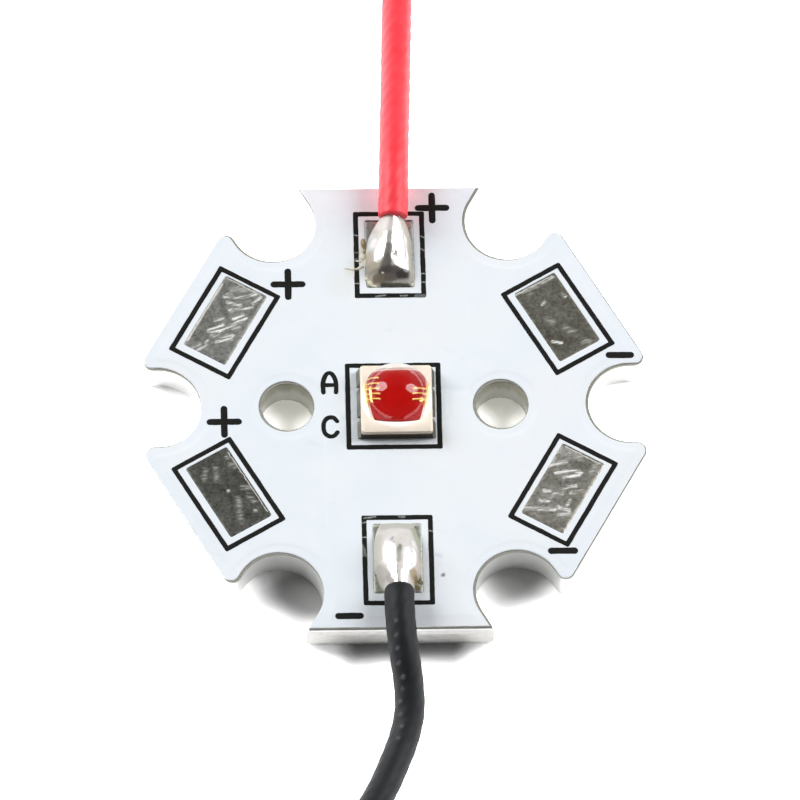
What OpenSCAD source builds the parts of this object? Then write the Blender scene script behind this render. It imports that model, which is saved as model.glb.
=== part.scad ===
// Six-sided star circuit board, 20 mm across its points, with one square
// surface-mount LED under a clear dome and two soldered leads.
// Millimetres. Origin: centre of the board's underside. +Z up, +Y to the rear.

/* [Board] */
// Distance between the two scored straight edges, measured at the top face
scored_flats = 18.7; // [18.5:0.05:18.8]
// Distance between the four routed straight edges
side_flats = 18.78; // [18.6:0.02:18.9]
// Thickness of the aluminium core
core_t = 1.43; // [1.3:0.01:1.5]
// Thickness of the insulating layer on the core
dielectric_t = 0.10; // [0.08:0.01:0.12]
// Thickness of the copper
copper_t = 0.04; // [0.035:0.005:0.07]
// Thickness of the white mask over the copper
mask_t = 0.03; // [0.02:0.005:0.04]
// Height of the black print above the mask
print_t = 0.02; // [0.01:0.005:0.03]
// How far the snapped web stands out past the scored edge
web_out = 0.15; // [0.1:0.01:0.2]
// Depth of each score line
score_depth = 0.45; // [0.3:0.05:0.5]

/* [Screw slots and holes] */
// Diameter of the circle through the centres of the round slot ends
slot_circle_d = 18.2; // [18:0.05:18.4]
// Width of each screw slot
slot_w = 3.3; // [3.2:0.05:3.4]
// Rounding of the routed tips beside the slots
tip_r = 0.35; // [0.25:0.05:0.4]
// Diameter of the two through holes
hole_d = 2.0; // [1.9:0.05:2.1]
// Diameter of the openings in the white mask round the through holes
mask_hole_d = 2.15; // [2.12:0.01:2.3]
// Distance between the two through holes
hole_spacing = 8.25; // [8.1:0.05:8.4]

/* [Pads and print] */
// Width of the front and rear pads, along X
end_pad_w = 1.88; // [1.8:0.02:1.94]
// Length of the front and rear pads, along Y
end_pad_l = 2.92; // [2.86:0.02:3.0]
// Distance of the front and rear pads from the centre
end_pad_r = 6.5; // [6.4:0.05:6.6]
// Width of the four side pads, towards the centre
side_pad_w = 1.84; // [1.8:0.02:1.9]
// Length of the four side pads, along their edge
side_pad_l = 3.38; // [3.3:0.02:3.4]
// Distance of the side pads from the centre
side_pad_r = 7.4; // [7.35:0.05:7.45]
// Width of the printed lines
line_w = 0.19; // [0.16:0.01:0.22]
// Width of the strokes in the printed marks
stroke_w = 0.26; // [0.2:0.005:0.28]
// How far the mask, pads and print sit to the left of the cut outline
art_shift = 0.05; // [0:0.01:0.06]

/* [LED] */
// Width of the LED's ceramic, along X
led_w = 2.76; // [2.7:0.02:2.8]
// Length of the LED's ceramic, along Y
led_l = 2.8; // [2.76:0.02:2.84]
// Thickness of the ceramic
led_t = 0.43; // [0.4:0.01:0.45]
// Radius of the clear dome
dome_r = 1.36; // [1.3:0.01:1.38]
// Width of the square die
die_w = 1.5; // [1.4:0.05:1.55]

/* [Leads] */
// Diameter of each lead over its insulation
lead_d = 1.15; // [1.1:0.05:1.15]
// Diameter of the stripped, tinned strands
strand_d = 0.62; // [0.55:0.01:0.66]
// Radius of a coil's outermost turn, at the middle of the lead
coil_r = 7.67; // [7.6:0.01:7.75]
// Radius of a coil's innermost turn, at the middle of the lead
coil_in_r = 5.12; // [5.0:0.02:5.3]
// Distance from one turn of a coil to the next
turn_pitch = 1.16; // [1.15:0.01:1.2]

/* [Hidden] */
$fn = 64;
c30 = cos(30);
z_core = core_t;
z_diel = z_core + dielectric_t;
z_cu = z_diel + copper_t;
z_mask = z_cu + mask_t;
z_tin = z_cu + 0.02;
led_x = 0.04;
slot_r = slot_w / 2;
slot_c = slot_circle_d / 2;
lead_r = lead_d / 2;
strand_r = strand_d / 2;
led_z0 = z_cu + 0.08;            // underside of the ceramic
led_z1 = led_z0 + led_t;         // top of the ceramic
metal_t = 0.015;                 // gold pattern
refl_t = 0.08;                   // white casting
led_z2 = led_z1 + refl_t;        // underside of the clear flange
flange_t = 0.05;
dome_z = led_z2 + flange_t;      // centre of the dome's sphere
die_t = 0.1;
coil_h = 2 * turn_pitch;

// Strips under the ceramic, [y low, y high] of the anode, thermal and cathode lands
strips = [[0.75, 1.43], [-0.53, 0.58], [-1.43, -0.75]];

// Routes of the leads from the solder joints to their coils
red_pts = [[0.10, 7.95, 2.30], [0.14, 9.10, 2.45], [0.19, 10.40, 2.42],
           [0.26, 12.00, 2.15], [0.34, 13.60, 1.75], [0.42, 15.40, 1.25],
           [0.49, 17.00, 0.85], [0.54, 18.40, 0.63], [0.47, 19.34, 0.58],
           [0.25, 20.25, 0.58], [-0.10, 21.13, 0.58]];
black_pts = [[-0.05, -7.95, 2.30], [-0.05, -8.95, 2.34], [0.01, -9.93, 2.18],
             [0.13, -10.87, 1.84], [0.25, -11.74, 1.34], [0.26, -12.63, 0.90],
             [0.03, -13.60, 0.65], [-0.35, -14.59, 0.58], [-0.78, -15.58, 0.58],
             [-1.26, -16.46, 0.58], [-1.76, -17.33, 0.58], [-2.26, -18.20, 0.58],
             [-2.76, -19.07, 0.58]];
// Centre of each coil, where its lead enters and leaves it, and the way it leaves
red_coil_c = [4.79, 28.34];
red_in = [-2.01, 24.87, 0.58];
red_out = [4.79, 35.97, 1.74];
red_off = [1, 0, -0.16];
black_coil_c = [1.78, -26.54];
black_in = [-4.86, -22.71, 0.58];
black_out = [1.78, -34.21, 1.74];
black_off = [1, 0, -0.16];
// Insulated tail past the coil, and the stripped end
tail_l = 4;
tip_l = 5;
function vlen(v) = sqrt(v * v);
function unit(v) = v / vlen(v);
// A route with a last short step straight towards its coil
function aimed(p, t) = concat(p, [p[len(p) - 1] + 0.4 * unit(t - p[len(p) - 1])]);
red_run = aimed(red_pts, red_in);
black_run = aimed(black_pts, black_in);

// ---------- plan shapes ----------

// Hexagon with four side faces at distance a and two scored faces at distance b
module hexagon(a, b) {
  x = (a - b / 2) / c30;
  polygon([[a / c30, 0], [x, b], [-x, b], [-a / c30, 0], [-x, -b], [x, -b]]);
}

// One screw slot: round end at distance c, open outwards
module slot(c, r) {
  translate([c, 0]) { circle(r = r); translate([0, -r]) square([4, 2 * r]); }
}

// Corner left over outside the rounding of one tip, s = 1 above the slot, -1 below
module tip_waste(a, r, t, s) {
  u = (a - t - (r + t) / 2) / c30;
  uv = (a - r / 2) / c30;
  mirror([0, s < 0 ? 1 : 0])
    polygon([[u, r + t], [u, r], [u, r - 0.3], [uv + 0.6, r - 0.3],
             [u + (t + 0.4) * c30, r + t + (t + 0.4) / 2],
             [u + t * c30, r + t + t / 2]]);
}
module tip_round(a, r, t, s) {
  u = (a - t - (r + t) / 2) / c30;
  translate([u, s * (r + t)]) circle(r = t);
}
// Slots and the side of each that meets a routed face
tips = [[0, 1], [0, -1], [60, -1], [120, 1], [180, 1], [180, -1], [240, -1], [300, 1]];

module star(a, b, r, t) {
  difference() {
    hexagon(a, b);
    for (k = [0 : 5]) rotate(60 * k) slot(slot_c, r);
    for (p = tips) rotate(p[0]) tip_waste(a, r, t, p[1]);
  }
  for (p = tips) rotate(p[0]) tip_round(a, r, t, p[1]);
}

module two_holes(d) {
  for (s = [-1, 1]) translate([s * hole_spacing / 2, 0]) circle(d = d);
}

module board_layer(z0, z1, b) {
  difference() {
    translate([0, 0, z0]) linear_extrude(z1 - z0) star(side_flats / 2, b, slot_r, tip_r);
    for (s = [-1, 1]) translate([s * hole_spacing / 2, 0, z0 - 1])
      cylinder(d = hole_d, h = z1 - z0 + 2);
  }
}

module end_pad() square([end_pad_w, end_pad_l], center = true);
module side_pad() square([side_pad_w, side_pad_l], center = true);

module at_rear() translate([-art_shift, end_pad_r]) children();
module at_front() translate([-art_shift, -end_pad_r]) children();
// dy moves the two front ones a little to the rear
module at_side(a, dy = 0) translate([-art_shift, a > 180 ? dy : 0])
  rotate(a) translate([side_pad_r, 0]) children();

module led_land(i) {
  s = strips[i];
  translate([led_x - 1.52, s[0]]) square([3.04, s[1] - s[0]]);
}

// ---------- board ----------

module score_cut(s) {
  b = scored_flats / 2;
  rotate([90, 0, s > 0 ? 90 : -90]) translate([0, 0, -10]) linear_extrude(20) {
    polygon([[b, z_mask + 0.001], [b + web_out, z_mask - score_depth],
             [b + 1, z_mask - score_depth], [b + 1, z_mask + 0.5], [b, z_mask + 0.5]]);
    polygon([[b, 0], [b, -0.5], [b + 1, -0.5], [b + 1, score_depth],
             [b + web_out, score_depth]]);
  }
}

module aluminium_base() color("#b9bbbd") difference() {
  translate([0, 0, 0]) linear_extrude(z_core)
    star(side_flats / 2, scored_flats / 2 + web_out, slot_r, tip_r);
  for (s = [-1, 1]) translate([s * hole_spacing / 2, 0, -1])
    cylinder(d = hole_d, h = z_core + 2);
  score_cut(1);
  score_cut(-1);
}

module dielectric_layer() color("#8d8a74")
  board_layer(z_core, z_diel, scored_flats / 2 + 0.01);

// Copper, drawn back from every edge and hole
module copper_area() difference() {
  star(side_flats / 2 - 0.4, scored_flats / 2 - 0.4, slot_r + 0.4, 0.3);
  two_holes(hole_d + 0.8);
}
module anode_plan() intersection() {
  copper_area();
  polygon([[-12, -12], [-3.0, -12], [-3.0, 0.75], [2.6, 0.75], [2.6, 12], [-12, 12]]);
}
module cathode_plan() intersection() {
  copper_area();
  polygon([[12, 12], [2.9, 12], [2.9, 0.45], [2.2, 0.45], [2.2, -0.75],
           [-2.7, -0.75], [-2.7, -12], [12, -12]]);
}
module thermal_plan() translate([-2.0, -0.53]) square([4.0, 1.11]);

module copper_anode() color("#c9804e") translate([0, 0, z_diel])
  linear_extrude(copper_t) anode_plan();
module copper_cathode() color("#c9804e") translate([0, 0, z_diel])
  linear_extrude(copper_t) cathode_plan();
module copper_thermal() color("#c9804e") translate([0, 0, z_diel])
  linear_extrude(copper_t) thermal_plan();

module windows() {
  at_rear() end_pad();
  at_front() end_pad();
  for (a = [30, 150, 210, 330]) at_side(a, 0.08) side_pad();
  for (i = [0 : 2]) led_land(i);
}

// The mask is drawn back from the slots, the holes and the right-hand faces
module mask_plan() difference() {
  intersection() {
    star(side_flats / 2, scored_flats / 2, slot_r, tip_r);
    translate([-art_shift, 0]) hexagon(side_flats / 2, scored_flats / 2 + 1);
  }
  translate([-art_shift, 0]) for (k = [0 : 5]) rotate(60 * k) slot(slot_c, slot_r + 0.06);
  translate([-art_shift, 0]) two_holes(mask_hole_d);
}
module solder_mask() color("#eef3f8") difference() {
  translate([0, 0, z_diel]) linear_extrude(z_mask - z_diel) mask_plan();
  translate([0, 0, z_diel - 1]) linear_extrude(copper_t + 1) {
    anode_plan(); cathode_plan(); thermal_plan();
  }
  translate([0, 0, z_diel + copper_t / 2]) linear_extrude(1) windows();
}

// ---------- black print ----------

module ring(w, l, t) difference() {
  square([w, l], center = true);
  square([w - 2 * t, l - 2 * t], center = true);
}
// A round-ended bar
module stroke(w) {
  square([w - stroke_w, stroke_w], center = true);
  for (s = [-1, 1]) translate([s * (w - stroke_w) / 2, 0]) circle(d = stroke_w);
}
module plus_mark(w) { stroke(w); rotate(90) stroke(w); }
module minus_mark(w) stroke(w);
module letter_a() {
  t = 0.17;
  translate([-0.24, -0.09]) square([t, 0.7], center = true);
  translate([0.24, -0.09]) square([t, 0.7], center = true);
  translate([0, -0.1]) square([0.48, t], center = true);
  translate([0, 0.36]) square([0.3, t], center = true);
  for (s = [-1, 1]) translate([s * 0.155, 0.26]) circle(d = 0.24);
}
module letter_c() {
  t = 0.17;
  translate([-0.22, 0]) square([t, 0.5], center = true);
  for (s = [-1, 1]) {
    translate([0.02, s * 0.355]) square([0.34, t], center = true);
    translate([-0.15, s * 0.27]) circle(d = 0.26);
    translate([0.2, s * 0.28]) circle(d = 0.2);
  }
}
module frame_end() ring(2.75, 3.74, line_w);
module frame_side() ring(2.66, 4.08, line_w);
module print_plan() {
  translate([0, -0.04]) at_rear() frame_end();
  translate([0, -0.07]) at_front() frame_end();
  translate([0, -0.09]) for (a = [30, 150]) at_side(a) frame_side();
  for (a = [210, 330]) at_side(a) frame_side();
  translate([-0.055, -0.045]) ring(3.69, 3.67, line_w);
  translate([1.645, 8.467]) plus_mark(1.34);
  translate([-4.01, 5.22]) plus_mark(1.36);
  translate([-6.58, -0.64]) plus_mark(1.36);
  translate([-1.95, -8.89]) minus_mark(1.10);
  translate([8.73, 2.04]) minus_mark(1.10);
  translate([6.28, -6.25]) minus_mark(1.15);
  translate([-2.5, 1.01]) letter_a();
  translate([-2.5, -0.9]) letter_c();
}
module legend_print() color("#15171a") translate([0, 0, z_mask])
  linear_extrude(print_t) intersection() {
    print_plan();
    star(side_flats / 2 - 0.05, scored_flats / 2 - 0.05, slot_r + 0.05, 0.3);
  }

// ---------- tinned pads ----------

module tin() translate([0, 0, z_cu]) linear_extrude(z_tin - z_cu) children();
module pad_plus_rear() color("#c3c4c2") tin() at_rear() end_pad();
module pad_plus_left_rear() color("#8f8f8a") tin() at_side(150) side_pad();
module pad_plus_left_front() color("#6f6f6a") tin() at_side(210, 0.08) side_pad();
module pad_minus_front() color("#c3c4c2") tin() at_front() end_pad();
module pad_minus_right_rear() color("#8a887c") tin() at_side(30) side_pad();
module pad_minus_right_front() color("#a5a397") tin() at_side(330, 0.08) side_pad();

// ---------- LED ----------

// Solder strip on a land, with a low fillet up to the ceramic at both ends
module led_solder(i) {
  s = strips[i];
  z0 = z_cu;
  z1 = z_cu + 0.05;
  translate([0, s[1], 0]) rotate([90, 0, 0]) linear_extrude(s[1] - s[0])
    polygon([[led_x - 1.5, z0], [led_x - 1.5, z1], [led_x - led_w / 2, led_z0 + 0.3],
             [led_x - led_w / 2, z1], [led_x + led_w / 2, z1],
             [led_x + led_w / 2, led_z0 + 0.3], [led_x + 1.5, z1], [led_x + 1.5, z0]]);
}
module led_solder_anode() color("#8c8d8a") led_solder(0);
module led_solder_thermal() color("#8c8d8a") led_solder(1);
module led_solder_cathode() color("#8c8d8a") led_solder(2);

module led_terminal(i) {
  s = strips[i];
  translate([led_x - led_w / 2, max(s[0], -led_l / 2), z_cu + 0.05])
    cube([led_w, min(s[1], led_l / 2) - max(s[0], -led_l / 2), 0.03]);
}
// The outer lands turn up the rear and front faces of the ceramic
module led_wrap(s) translate([led_x - led_w / 2 + 0.03, s > 0 ? led_l / 2 : -led_l / 2 - 0.03, z_cu + 0.05])
  cube([led_w - 0.06, 0.03, led_t - 0.01]);
module led_terminal_anode() color("#77756a") { led_terminal(0); led_wrap(1); }
module led_terminal_thermal() color("#77756a") led_terminal(1);
module led_terminal_cathode() color("#4d483c") { led_terminal(2); led_wrap(-1); }

module led_substrate() color("#d9d3c6") translate([led_x - led_w / 2, -led_l / 2, led_z0])
  cube([led_w, led_l, led_t]);

// Gold pattern: die pad in the middle, bond pads to the left and right
die_y = 0.09;
module gold_plan() {
  translate([led_x, die_y]) square([die_w + 0.04, die_w + 0.04], center = true);
  for (s = [-1, 1]) translate([led_x + s * (die_w / 2 + 0.17), die_y])
    square([0.22, 1.3], center = true);
}
module led_top_metal() color("#d9a441") translate([0, 0, led_z1])
  linear_extrude(metal_t) gold_plan();

module refl_window() translate([led_x, die_y]) square([die_w + 0.66, die_w + 0.2], center = true);
module led_reflector() color("#f4efe4") difference() {
  translate([led_x - led_w / 2, -led_l / 2, led_z1]) cube([led_w, led_l, refl_t]);
  translate([0, 0, led_z1 - 1]) linear_extrude(refl_t + 2) refl_window();
}

die_z = led_z1 + metal_t;
module die_box() translate([led_x - die_w / 2, die_y - die_w / 2, die_z])
  cube([die_w, die_w, die_t]);
module led_die() color("#b3100c") die_box();

// Short bond wires from the die's top edge down to the bond pads
wire_l = [for (k = [0 : 4]) 0.44 - 0.22 * k];
wire_r = [for (k = [0 : 2]) 0.22 - 0.22 * k];
module bond_bar(s, y) {
  x0 = led_x + s * (die_w / 2 - 0.14);
  x1 = led_x + s * (die_w / 2 + 0.2);
  zt = die_z + die_t;
  w = 0.04;
  translate([0, die_y + y + w / 2, 0]) rotate([90, 0, 0]) linear_extrude(w)
    polygon(s > 0
      ? [[x0, zt], [x0, zt + w], [x1 - 0.12, zt + w], [x1, die_z + w], [x1, die_z], [x1 - w, die_z],
         [x1 - 0.14, zt - 0.002], [led_x + die_w / 2 + 0.01, zt]]
      : [[x0, zt], [led_x - die_w / 2 - 0.01, zt], [x1 + 0.14, zt - 0.002], [x1 + w, die_z],
         [x1, die_z], [x1, die_z + w], [x1 + 0.12, zt + w], [x0, zt + w]]);
}
module wires() {
  for (y = wire_l) bond_bar(-1, y);
  for (y = wire_r) bond_bar(1, y);
}
module led_bond_wires() color("#e2b04a") wires();

module led_lens() color("#f2f4f6", 0.45) difference() {
  union() {
    intersection() {
      translate([led_x, 0, dome_z]) sphere(r = dome_r);
      translate([led_x - 2, -2, dome_z]) cube([4, 4, 3]);
    }
    translate([led_x - led_w / 2, -led_l / 2, led_z2]) cube([led_w, led_l, flange_t]);
    translate([0, 0, led_z1]) linear_extrude(refl_t) refl_window();
  }
  translate([0, 0, led_z1 - 1]) linear_extrude(metal_t + 1) gold_plan();
  die_box();
  wires();
}

// ---------- leads ----------

// Round bar from p to q
module rod(p, q, r) {
  d = q - p;
  translate(p) rotate([0, acos(d[2] / vlen(d)), atan2(d[1], d[0])])
    cylinder(r = r, h = vlen(d));
}

// Tube of n sides swept along the points of p
function heading(p, i) = unit(
  (i < len(p) - 1 ? unit(p[i + 1] - p[i]) : [0, 0, 0]) +
  (i > 0 ? unit(p[i] - p[i - 1]) : [0, 0, 0]));
function side_of(t) = unit(cross(t, [0, 0, 1]));
function ring_pt(c, t, r, a) = c + r * (cos(a) * side_of(t) + sin(a) * cross(side_of(t), t));
module tube(p, r, n = 8) {
  m = len(p);
  pts = [for (i = [0 : m - 1]) for (k = [0 : n - 1])
    ring_pt(p[i], heading(p, i), r, 360 * k / n + 180 / n)];
  walls = [for (i = [0 : m - 2]) for (k = [0 : n - 1])
    [i * n + k, i * n + (k + 1) % n, (i + 1) * n + (k + 1) % n, (i + 1) * n + k]];
  caps = [[for (k = [n - 1 : -1 : 0]) k], [for (k = [0 : n - 1]) (m - 1) * n + k]];
  polyhedron(points = pts, faces = concat(walls, caps), convexity = 6);
}

// Coil: a ring of turns spiralling in on the floor and out again on top, with the
// lead's straight run in from a to its first turn, and its tail leaving along u
module coil(c, a, t, o, u) {
  translate([c[0], c[1], 0]) rotate_extrude()
    translate([coil_in_r - lead_r, 0]) square([coil_r - coil_in_r + lead_d, coil_h]);
  rod(a, t, lead_r);
  rod(o, o + tail_l * unit(u), lead_r);
}

// The stripped end runs back along the lead's own line, into its joint
function joint_in(run, l) = run[0] - l * unit(run[1] - run[0]);
module red_conductor_end() color("#c8c6be") rod(joint_in(red_run, 2.3), red_run[0], strand_r);
module black_conductor_end() color("#c8c6be") rod(joint_in(black_run, 2.3), black_run[0], strand_r);

// Pillow of solder on a pad, higher towards the lead
module pillow(s) translate([-art_shift, 0]) hull() {
  translate([-end_pad_w / 2 + 0.02, s > 0 ? end_pad_r - end_pad_l / 2 + 0.02 : -end_pad_r - end_pad_l / 2 + 0.02, z_tin])
    cube([end_pad_w - 0.04, end_pad_l - 0.04, 0.1]);
  translate([0, s * 5.9, z_tin + 0.45]) scale([0.75, 0.5, 0.4]) sphere(r = 1, $fn = 32);
  translate([0, s * 7.15, z_tin + 0.6]) scale([0.78, 0.78, 0.7]) sphere(r = 0.8, $fn = 32);
}
module solder_joint_red() color("#b8b9b6") difference() {
  pillow(1);
  rod(joint_in(red_run, 2.3), red_run[1], strand_r);
}
module solder_joint_black() color("#b8b9b6") difference() {
  pillow(-1);
  rod(joint_in(black_run, 2.3), black_run[1], strand_r);
}

module red_lead() color("#e23b46") tube(red_run, lead_r);
module black_lead() color("#2c2e31") tube(black_run, lead_r);
module red_lead_coil() color("#e23b46")
  coil(red_coil_c, red_run[len(red_run) - 1], red_in, red_out, red_off);
module black_lead_coil() color("#2c2e31")
  coil(black_coil_c, black_run[len(black_run) - 1], black_in, black_out, black_off);
module red_lead_tip() color("#c8c6be")
  rod(red_out + tail_l * unit(red_off), red_out + (tail_l + tip_l) * unit(red_off), strand_r);
module black_lead_tip() color("#c8c6be")
  rod(black_out + tail_l * unit(black_off), black_out + (tail_l + tip_l) * unit(black_off), strand_r);

aluminium_base();
dielectric_layer();
copper_anode();
copper_cathode();
copper_thermal();
solder_mask();
legend_print();
pad_plus_rear();
pad_plus_left_rear();
pad_plus_left_front();
pad_minus_front();
pad_minus_right_rear();
pad_minus_right_front();
led_solder_anode();
led_solder_thermal();
led_solder_cathode();
led_terminal_anode();
led_terminal_thermal();
led_terminal_cathode();
led_substrate();
led_top_metal();
led_reflector();
led_die();
led_bond_wires();
led_lens();
solder_joint_red();
solder_joint_black();
red_conductor_end();
black_conductor_end();
red_lead();
red_lead_coil();
red_lead_tip();
black_lead();
black_lead_coil();
black_lead_tip();
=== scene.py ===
import bpy, bmesh, math
import numpy as np
from mathutils import Vector, Matrix
from mathutils import noise as mnoise
from mathutils.geometry import delaunay_2d_cdt


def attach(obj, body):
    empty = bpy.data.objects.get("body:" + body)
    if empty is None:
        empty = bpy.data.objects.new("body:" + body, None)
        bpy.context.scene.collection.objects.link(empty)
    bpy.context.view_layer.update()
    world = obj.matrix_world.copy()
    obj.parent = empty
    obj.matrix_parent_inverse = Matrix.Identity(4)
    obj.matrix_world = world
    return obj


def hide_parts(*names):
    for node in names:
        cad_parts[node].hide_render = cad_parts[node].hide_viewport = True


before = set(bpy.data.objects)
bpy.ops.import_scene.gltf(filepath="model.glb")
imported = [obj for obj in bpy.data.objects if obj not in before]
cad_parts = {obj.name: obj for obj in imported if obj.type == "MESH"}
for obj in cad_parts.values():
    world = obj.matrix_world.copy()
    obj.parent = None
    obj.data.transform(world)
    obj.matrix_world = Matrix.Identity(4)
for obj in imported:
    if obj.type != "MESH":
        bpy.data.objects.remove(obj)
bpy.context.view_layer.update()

MM = 0.001
C30 = math.cos(math.radians(30))
scene = bpy.context.scene

# ------------------------------------------------------------------ camera
CAM = Vector((-13.87426803, -175.22807026, 367.16202384)) * MM
ROWS = ((0.999342271, -0.024547995, 0.026691215),
        (0.010576567, 0.901344552, 0.432973597),
        (-0.034686615, -0.432406516, 0.901011345))
cam_data = bpy.data.cameras.new("camera")
cam_data.sensor_fit = "HORIZONTAL"
cam_data.sensor_width = 36.0
cam_data.lens = 10543.72 * 36.0 / 800.0
cam_data.clip_start = 0.01
cam_data.clip_end = 10.0
cam = bpy.data.objects.new("camera", cam_data)
scene.collection.objects.link(cam)
cam.rotation_mode = "QUATERNION"
cam.location = CAM
cam.rotation_quaternion = Matrix(ROWS).transposed().to_quaternion()
scene.camera = cam
scene.view_settings.view_transform = "Standard"


# ------------------------------------------------------------------ node graphs
class Graph:
    """A Principled material built from nodes. Colours are linear."""

    def __init__(self, name):
        self.m = bpy.data.materials.new(name)
        self.m.use_nodes = True
        self.t = self.m.node_tree
        self.t.nodes.clear()
        self.out = self.t.nodes.new("ShaderNodeOutputMaterial")
        self.b = self.t.nodes.new("ShaderNodeBsdfPrincipled")
        self.t.links.new(self.b.outputs[0], self.out.inputs[0])
        self._oc = None

    def new(self, kind, **props):
        n = self.t.nodes.new(kind)
        for k, v in props.items():
            setattr(n, k, v)
        return n

    def put(self, socket, v):
        if isinstance(v, bpy.types.NodeSocket):
            self.t.links.new(v, socket)
        else:
            socket.default_value = v

    def obj(self):
        """Object coordinates in millimetres."""
        if self._oc is None:
            tc = self.new("ShaderNodeTexCoord")
            vm = self.new("ShaderNodeVectorMath", operation="SCALE")
            self.t.links.new(tc.outputs["Object"], vm.inputs[0])
            vm.inputs["Scale"].default_value = 1000.0
            self._oc = vm.outputs[0]
        return self._oc

    def vmath(self, op, a, b, out=0):
        n = self.new("ShaderNodeVectorMath", operation=op)
        self.put(n.inputs[0], a)
        self.put(n.inputs[1], b)
        return n.outputs[out]

    def vscale(self, v, s):
        return self.vmath("MULTIPLY", v, s)

    def vadd(self, a, b):
        return self.vmath("ADD", a, b)

    def vrot(self, v, deg, centre=(0, 0, 0)):
        n = self.new("ShaderNodeVectorRotate", rotation_type="Z_AXIS")
        self.put(n.inputs["Vector"], v)
        n.inputs["Center"].default_value = centre
        n.inputs["Angle"].default_value = math.radians(deg)
        return n.outputs[0]

    def xyz(self, v):
        n = self.new("ShaderNodeSeparateXYZ")
        self.put(n.inputs[0], v)
        return n.outputs[0], n.outputs[1], n.outputs[2]

    def math(self, op, a, b=0.0, c=0.0, clamp=False):
        n = self.new("ShaderNodeMath", operation=op, use_clamp=clamp)
        self.put(n.inputs[0], a)
        self.put(n.inputs[1], b)
        if len(n.inputs) > 2:
            self.put(n.inputs[2], c)
        return n.outputs[0]

    def noise(self, v, scale=1.0, detail=2.0, rough=0.5, distort=0.0, out="Fac"):
        n = self.new("ShaderNodeTexNoise")
        self.put(n.inputs["Vector"], v)
        n.inputs["Scale"].default_value = scale
        n.inputs["Detail"].default_value = detail
        n.inputs["Roughness"].default_value = rough
        n.inputs["Distortion"].default_value = distort
        return n.outputs[out]

    def wobble(self, v, scale, amount):
        """v moved about by noise, up to about amount mm."""
        c = self.noise(v, scale, 2.0, 0.5, out="Color")
        s = self.vmath("SUBTRACT", c, (0.5, 0.5, 0.5))
        return self.vadd(v, self.vscale(s, (2 * amount, 2 * amount, 0)))

    def ramp(self, fac, stops, interp="LINEAR"):
        n = self.new("ShaderNodeValToRGB")
        n.color_ramp.interpolation = interp
        el = n.color_ramp.elements
        while len(el) < len(stops):
            el.new(0.5)
        for e, (p, c) in zip(el, stops):
            e.position = p
            e.color = (c, c, c, 1) if isinstance(c, (int, float)) else (*c, 1)
        self.put(n.inputs[0], fac)
        return n.outputs[0]

    def step(self, fac, lo, hi, a=0.0, b=1.0):
        n = self.new("ShaderNodeMapRange", interpolation_type="SMOOTHSTEP")
        self.put(n.inputs["Value"], fac)
        n.inputs["From Min"].default_value = lo
        n.inputs["From Max"].default_value = hi
        n.inputs["To Min"].default_value = a
        n.inputs["To Max"].default_value = b
        return n.outputs[0]

    def mix(self, fac, a, b, blend="MIX"):
        n = self.new("ShaderNodeMix", data_type="RGBA", blend_type=blend)
        self.put(n.inputs[0], fac)
        for s, v in ((n.inputs[6], a), (n.inputs[7], b)):
            if isinstance(v, bpy.types.NodeSocket):
                self.t.links.new(v, s)
            else:
                s.default_value = (*v, 1) if len(v) == 3 else v
        return n.outputs[2]

    def bump(self, height, distance, strength=1.0, normal=None):
        n = self.new("ShaderNodeBump")
        self.put(n.inputs["Height"], height)
        n.inputs["Distance"].default_value = distance * MM
        n.inputs["Strength"].default_value = strength
        if normal is not None:
            self.t.links.new(normal, n.inputs["Normal"])
        return n.outputs[0]

    def spot(self, v, c, r, soft):
        """1 inside a ball round c, falling to 0 over soft."""
        return self.step(self.vmath("DISTANCE", v, c, "Value"), r, r + soft, 1, 0)

    def spots(self, v, places):
        """The strongest of several spots (x, y, radius, soft, strength) on the board's face."""
        out = None
        for x, y, r, soft, k in places:
            m = self.math("MULTIPLY", self.spot(v, (x, y, 0), r, soft), k)
            out = m if out is None else self.math("MAXIMUM", out, m)
        return out

    def flat(self, v):
        return self.vscale(v, (1, 1, 0))

    def stroke(self, v, a, b, w, soft):
        """1 within w of the line from a to b, falling to 0 over soft."""
        d = (b[0] - a[0], b[1] - a[1], 0)
        dd = d[0] ** 2 + d[1] ** 2
        q = self.vmath("SUBTRACT", v, (a[0], a[1], 0))
        t = self.math("MULTIPLY", self.vmath("DOT_PRODUCT", q, (d[0] / dd, d[1] / dd, 0), "Value"), 1.0, clamp=True)
        n = self.new("ShaderNodeVectorMath", operation="SCALE")
        n.inputs[0].default_value = d
        self.put(n.inputs["Scale"], t)
        return self.step(self.vmath("DISTANCE", q, n.outputs[0], "Value"), w, w + soft, 1, 0)

    def set(self, color=None, rough=None, metal=None, normal=None, **kw):
        if color is not None:
            s = self.b.inputs["Base Color"]
            if isinstance(color, bpy.types.NodeSocket):
                self.t.links.new(color, s)
            else:
                s.default_value = (*color, 1)
        if rough is not None:
            self.put(self.b.inputs["Roughness"], rough)
        if metal is not None:
            self.put(self.b.inputs["Metallic"], metal)
        if normal is not None:
            self.t.links.new(normal, self.b.inputs["Normal"])
        for k, v in kw.items():
            self.put(self.b.inputs[k.replace("_", " ")], v)
        return self.m


def srgb(h):
    """Linear colour from a hex string."""
    out = []
    for i in (0, 2, 4):
        c = int(h[i:i + 2], 16) / 255
        out.append(c / 12.92 if c <= 0.04045 else ((c + 0.055) / 1.055) ** 2.4)
    return tuple(out)


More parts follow.
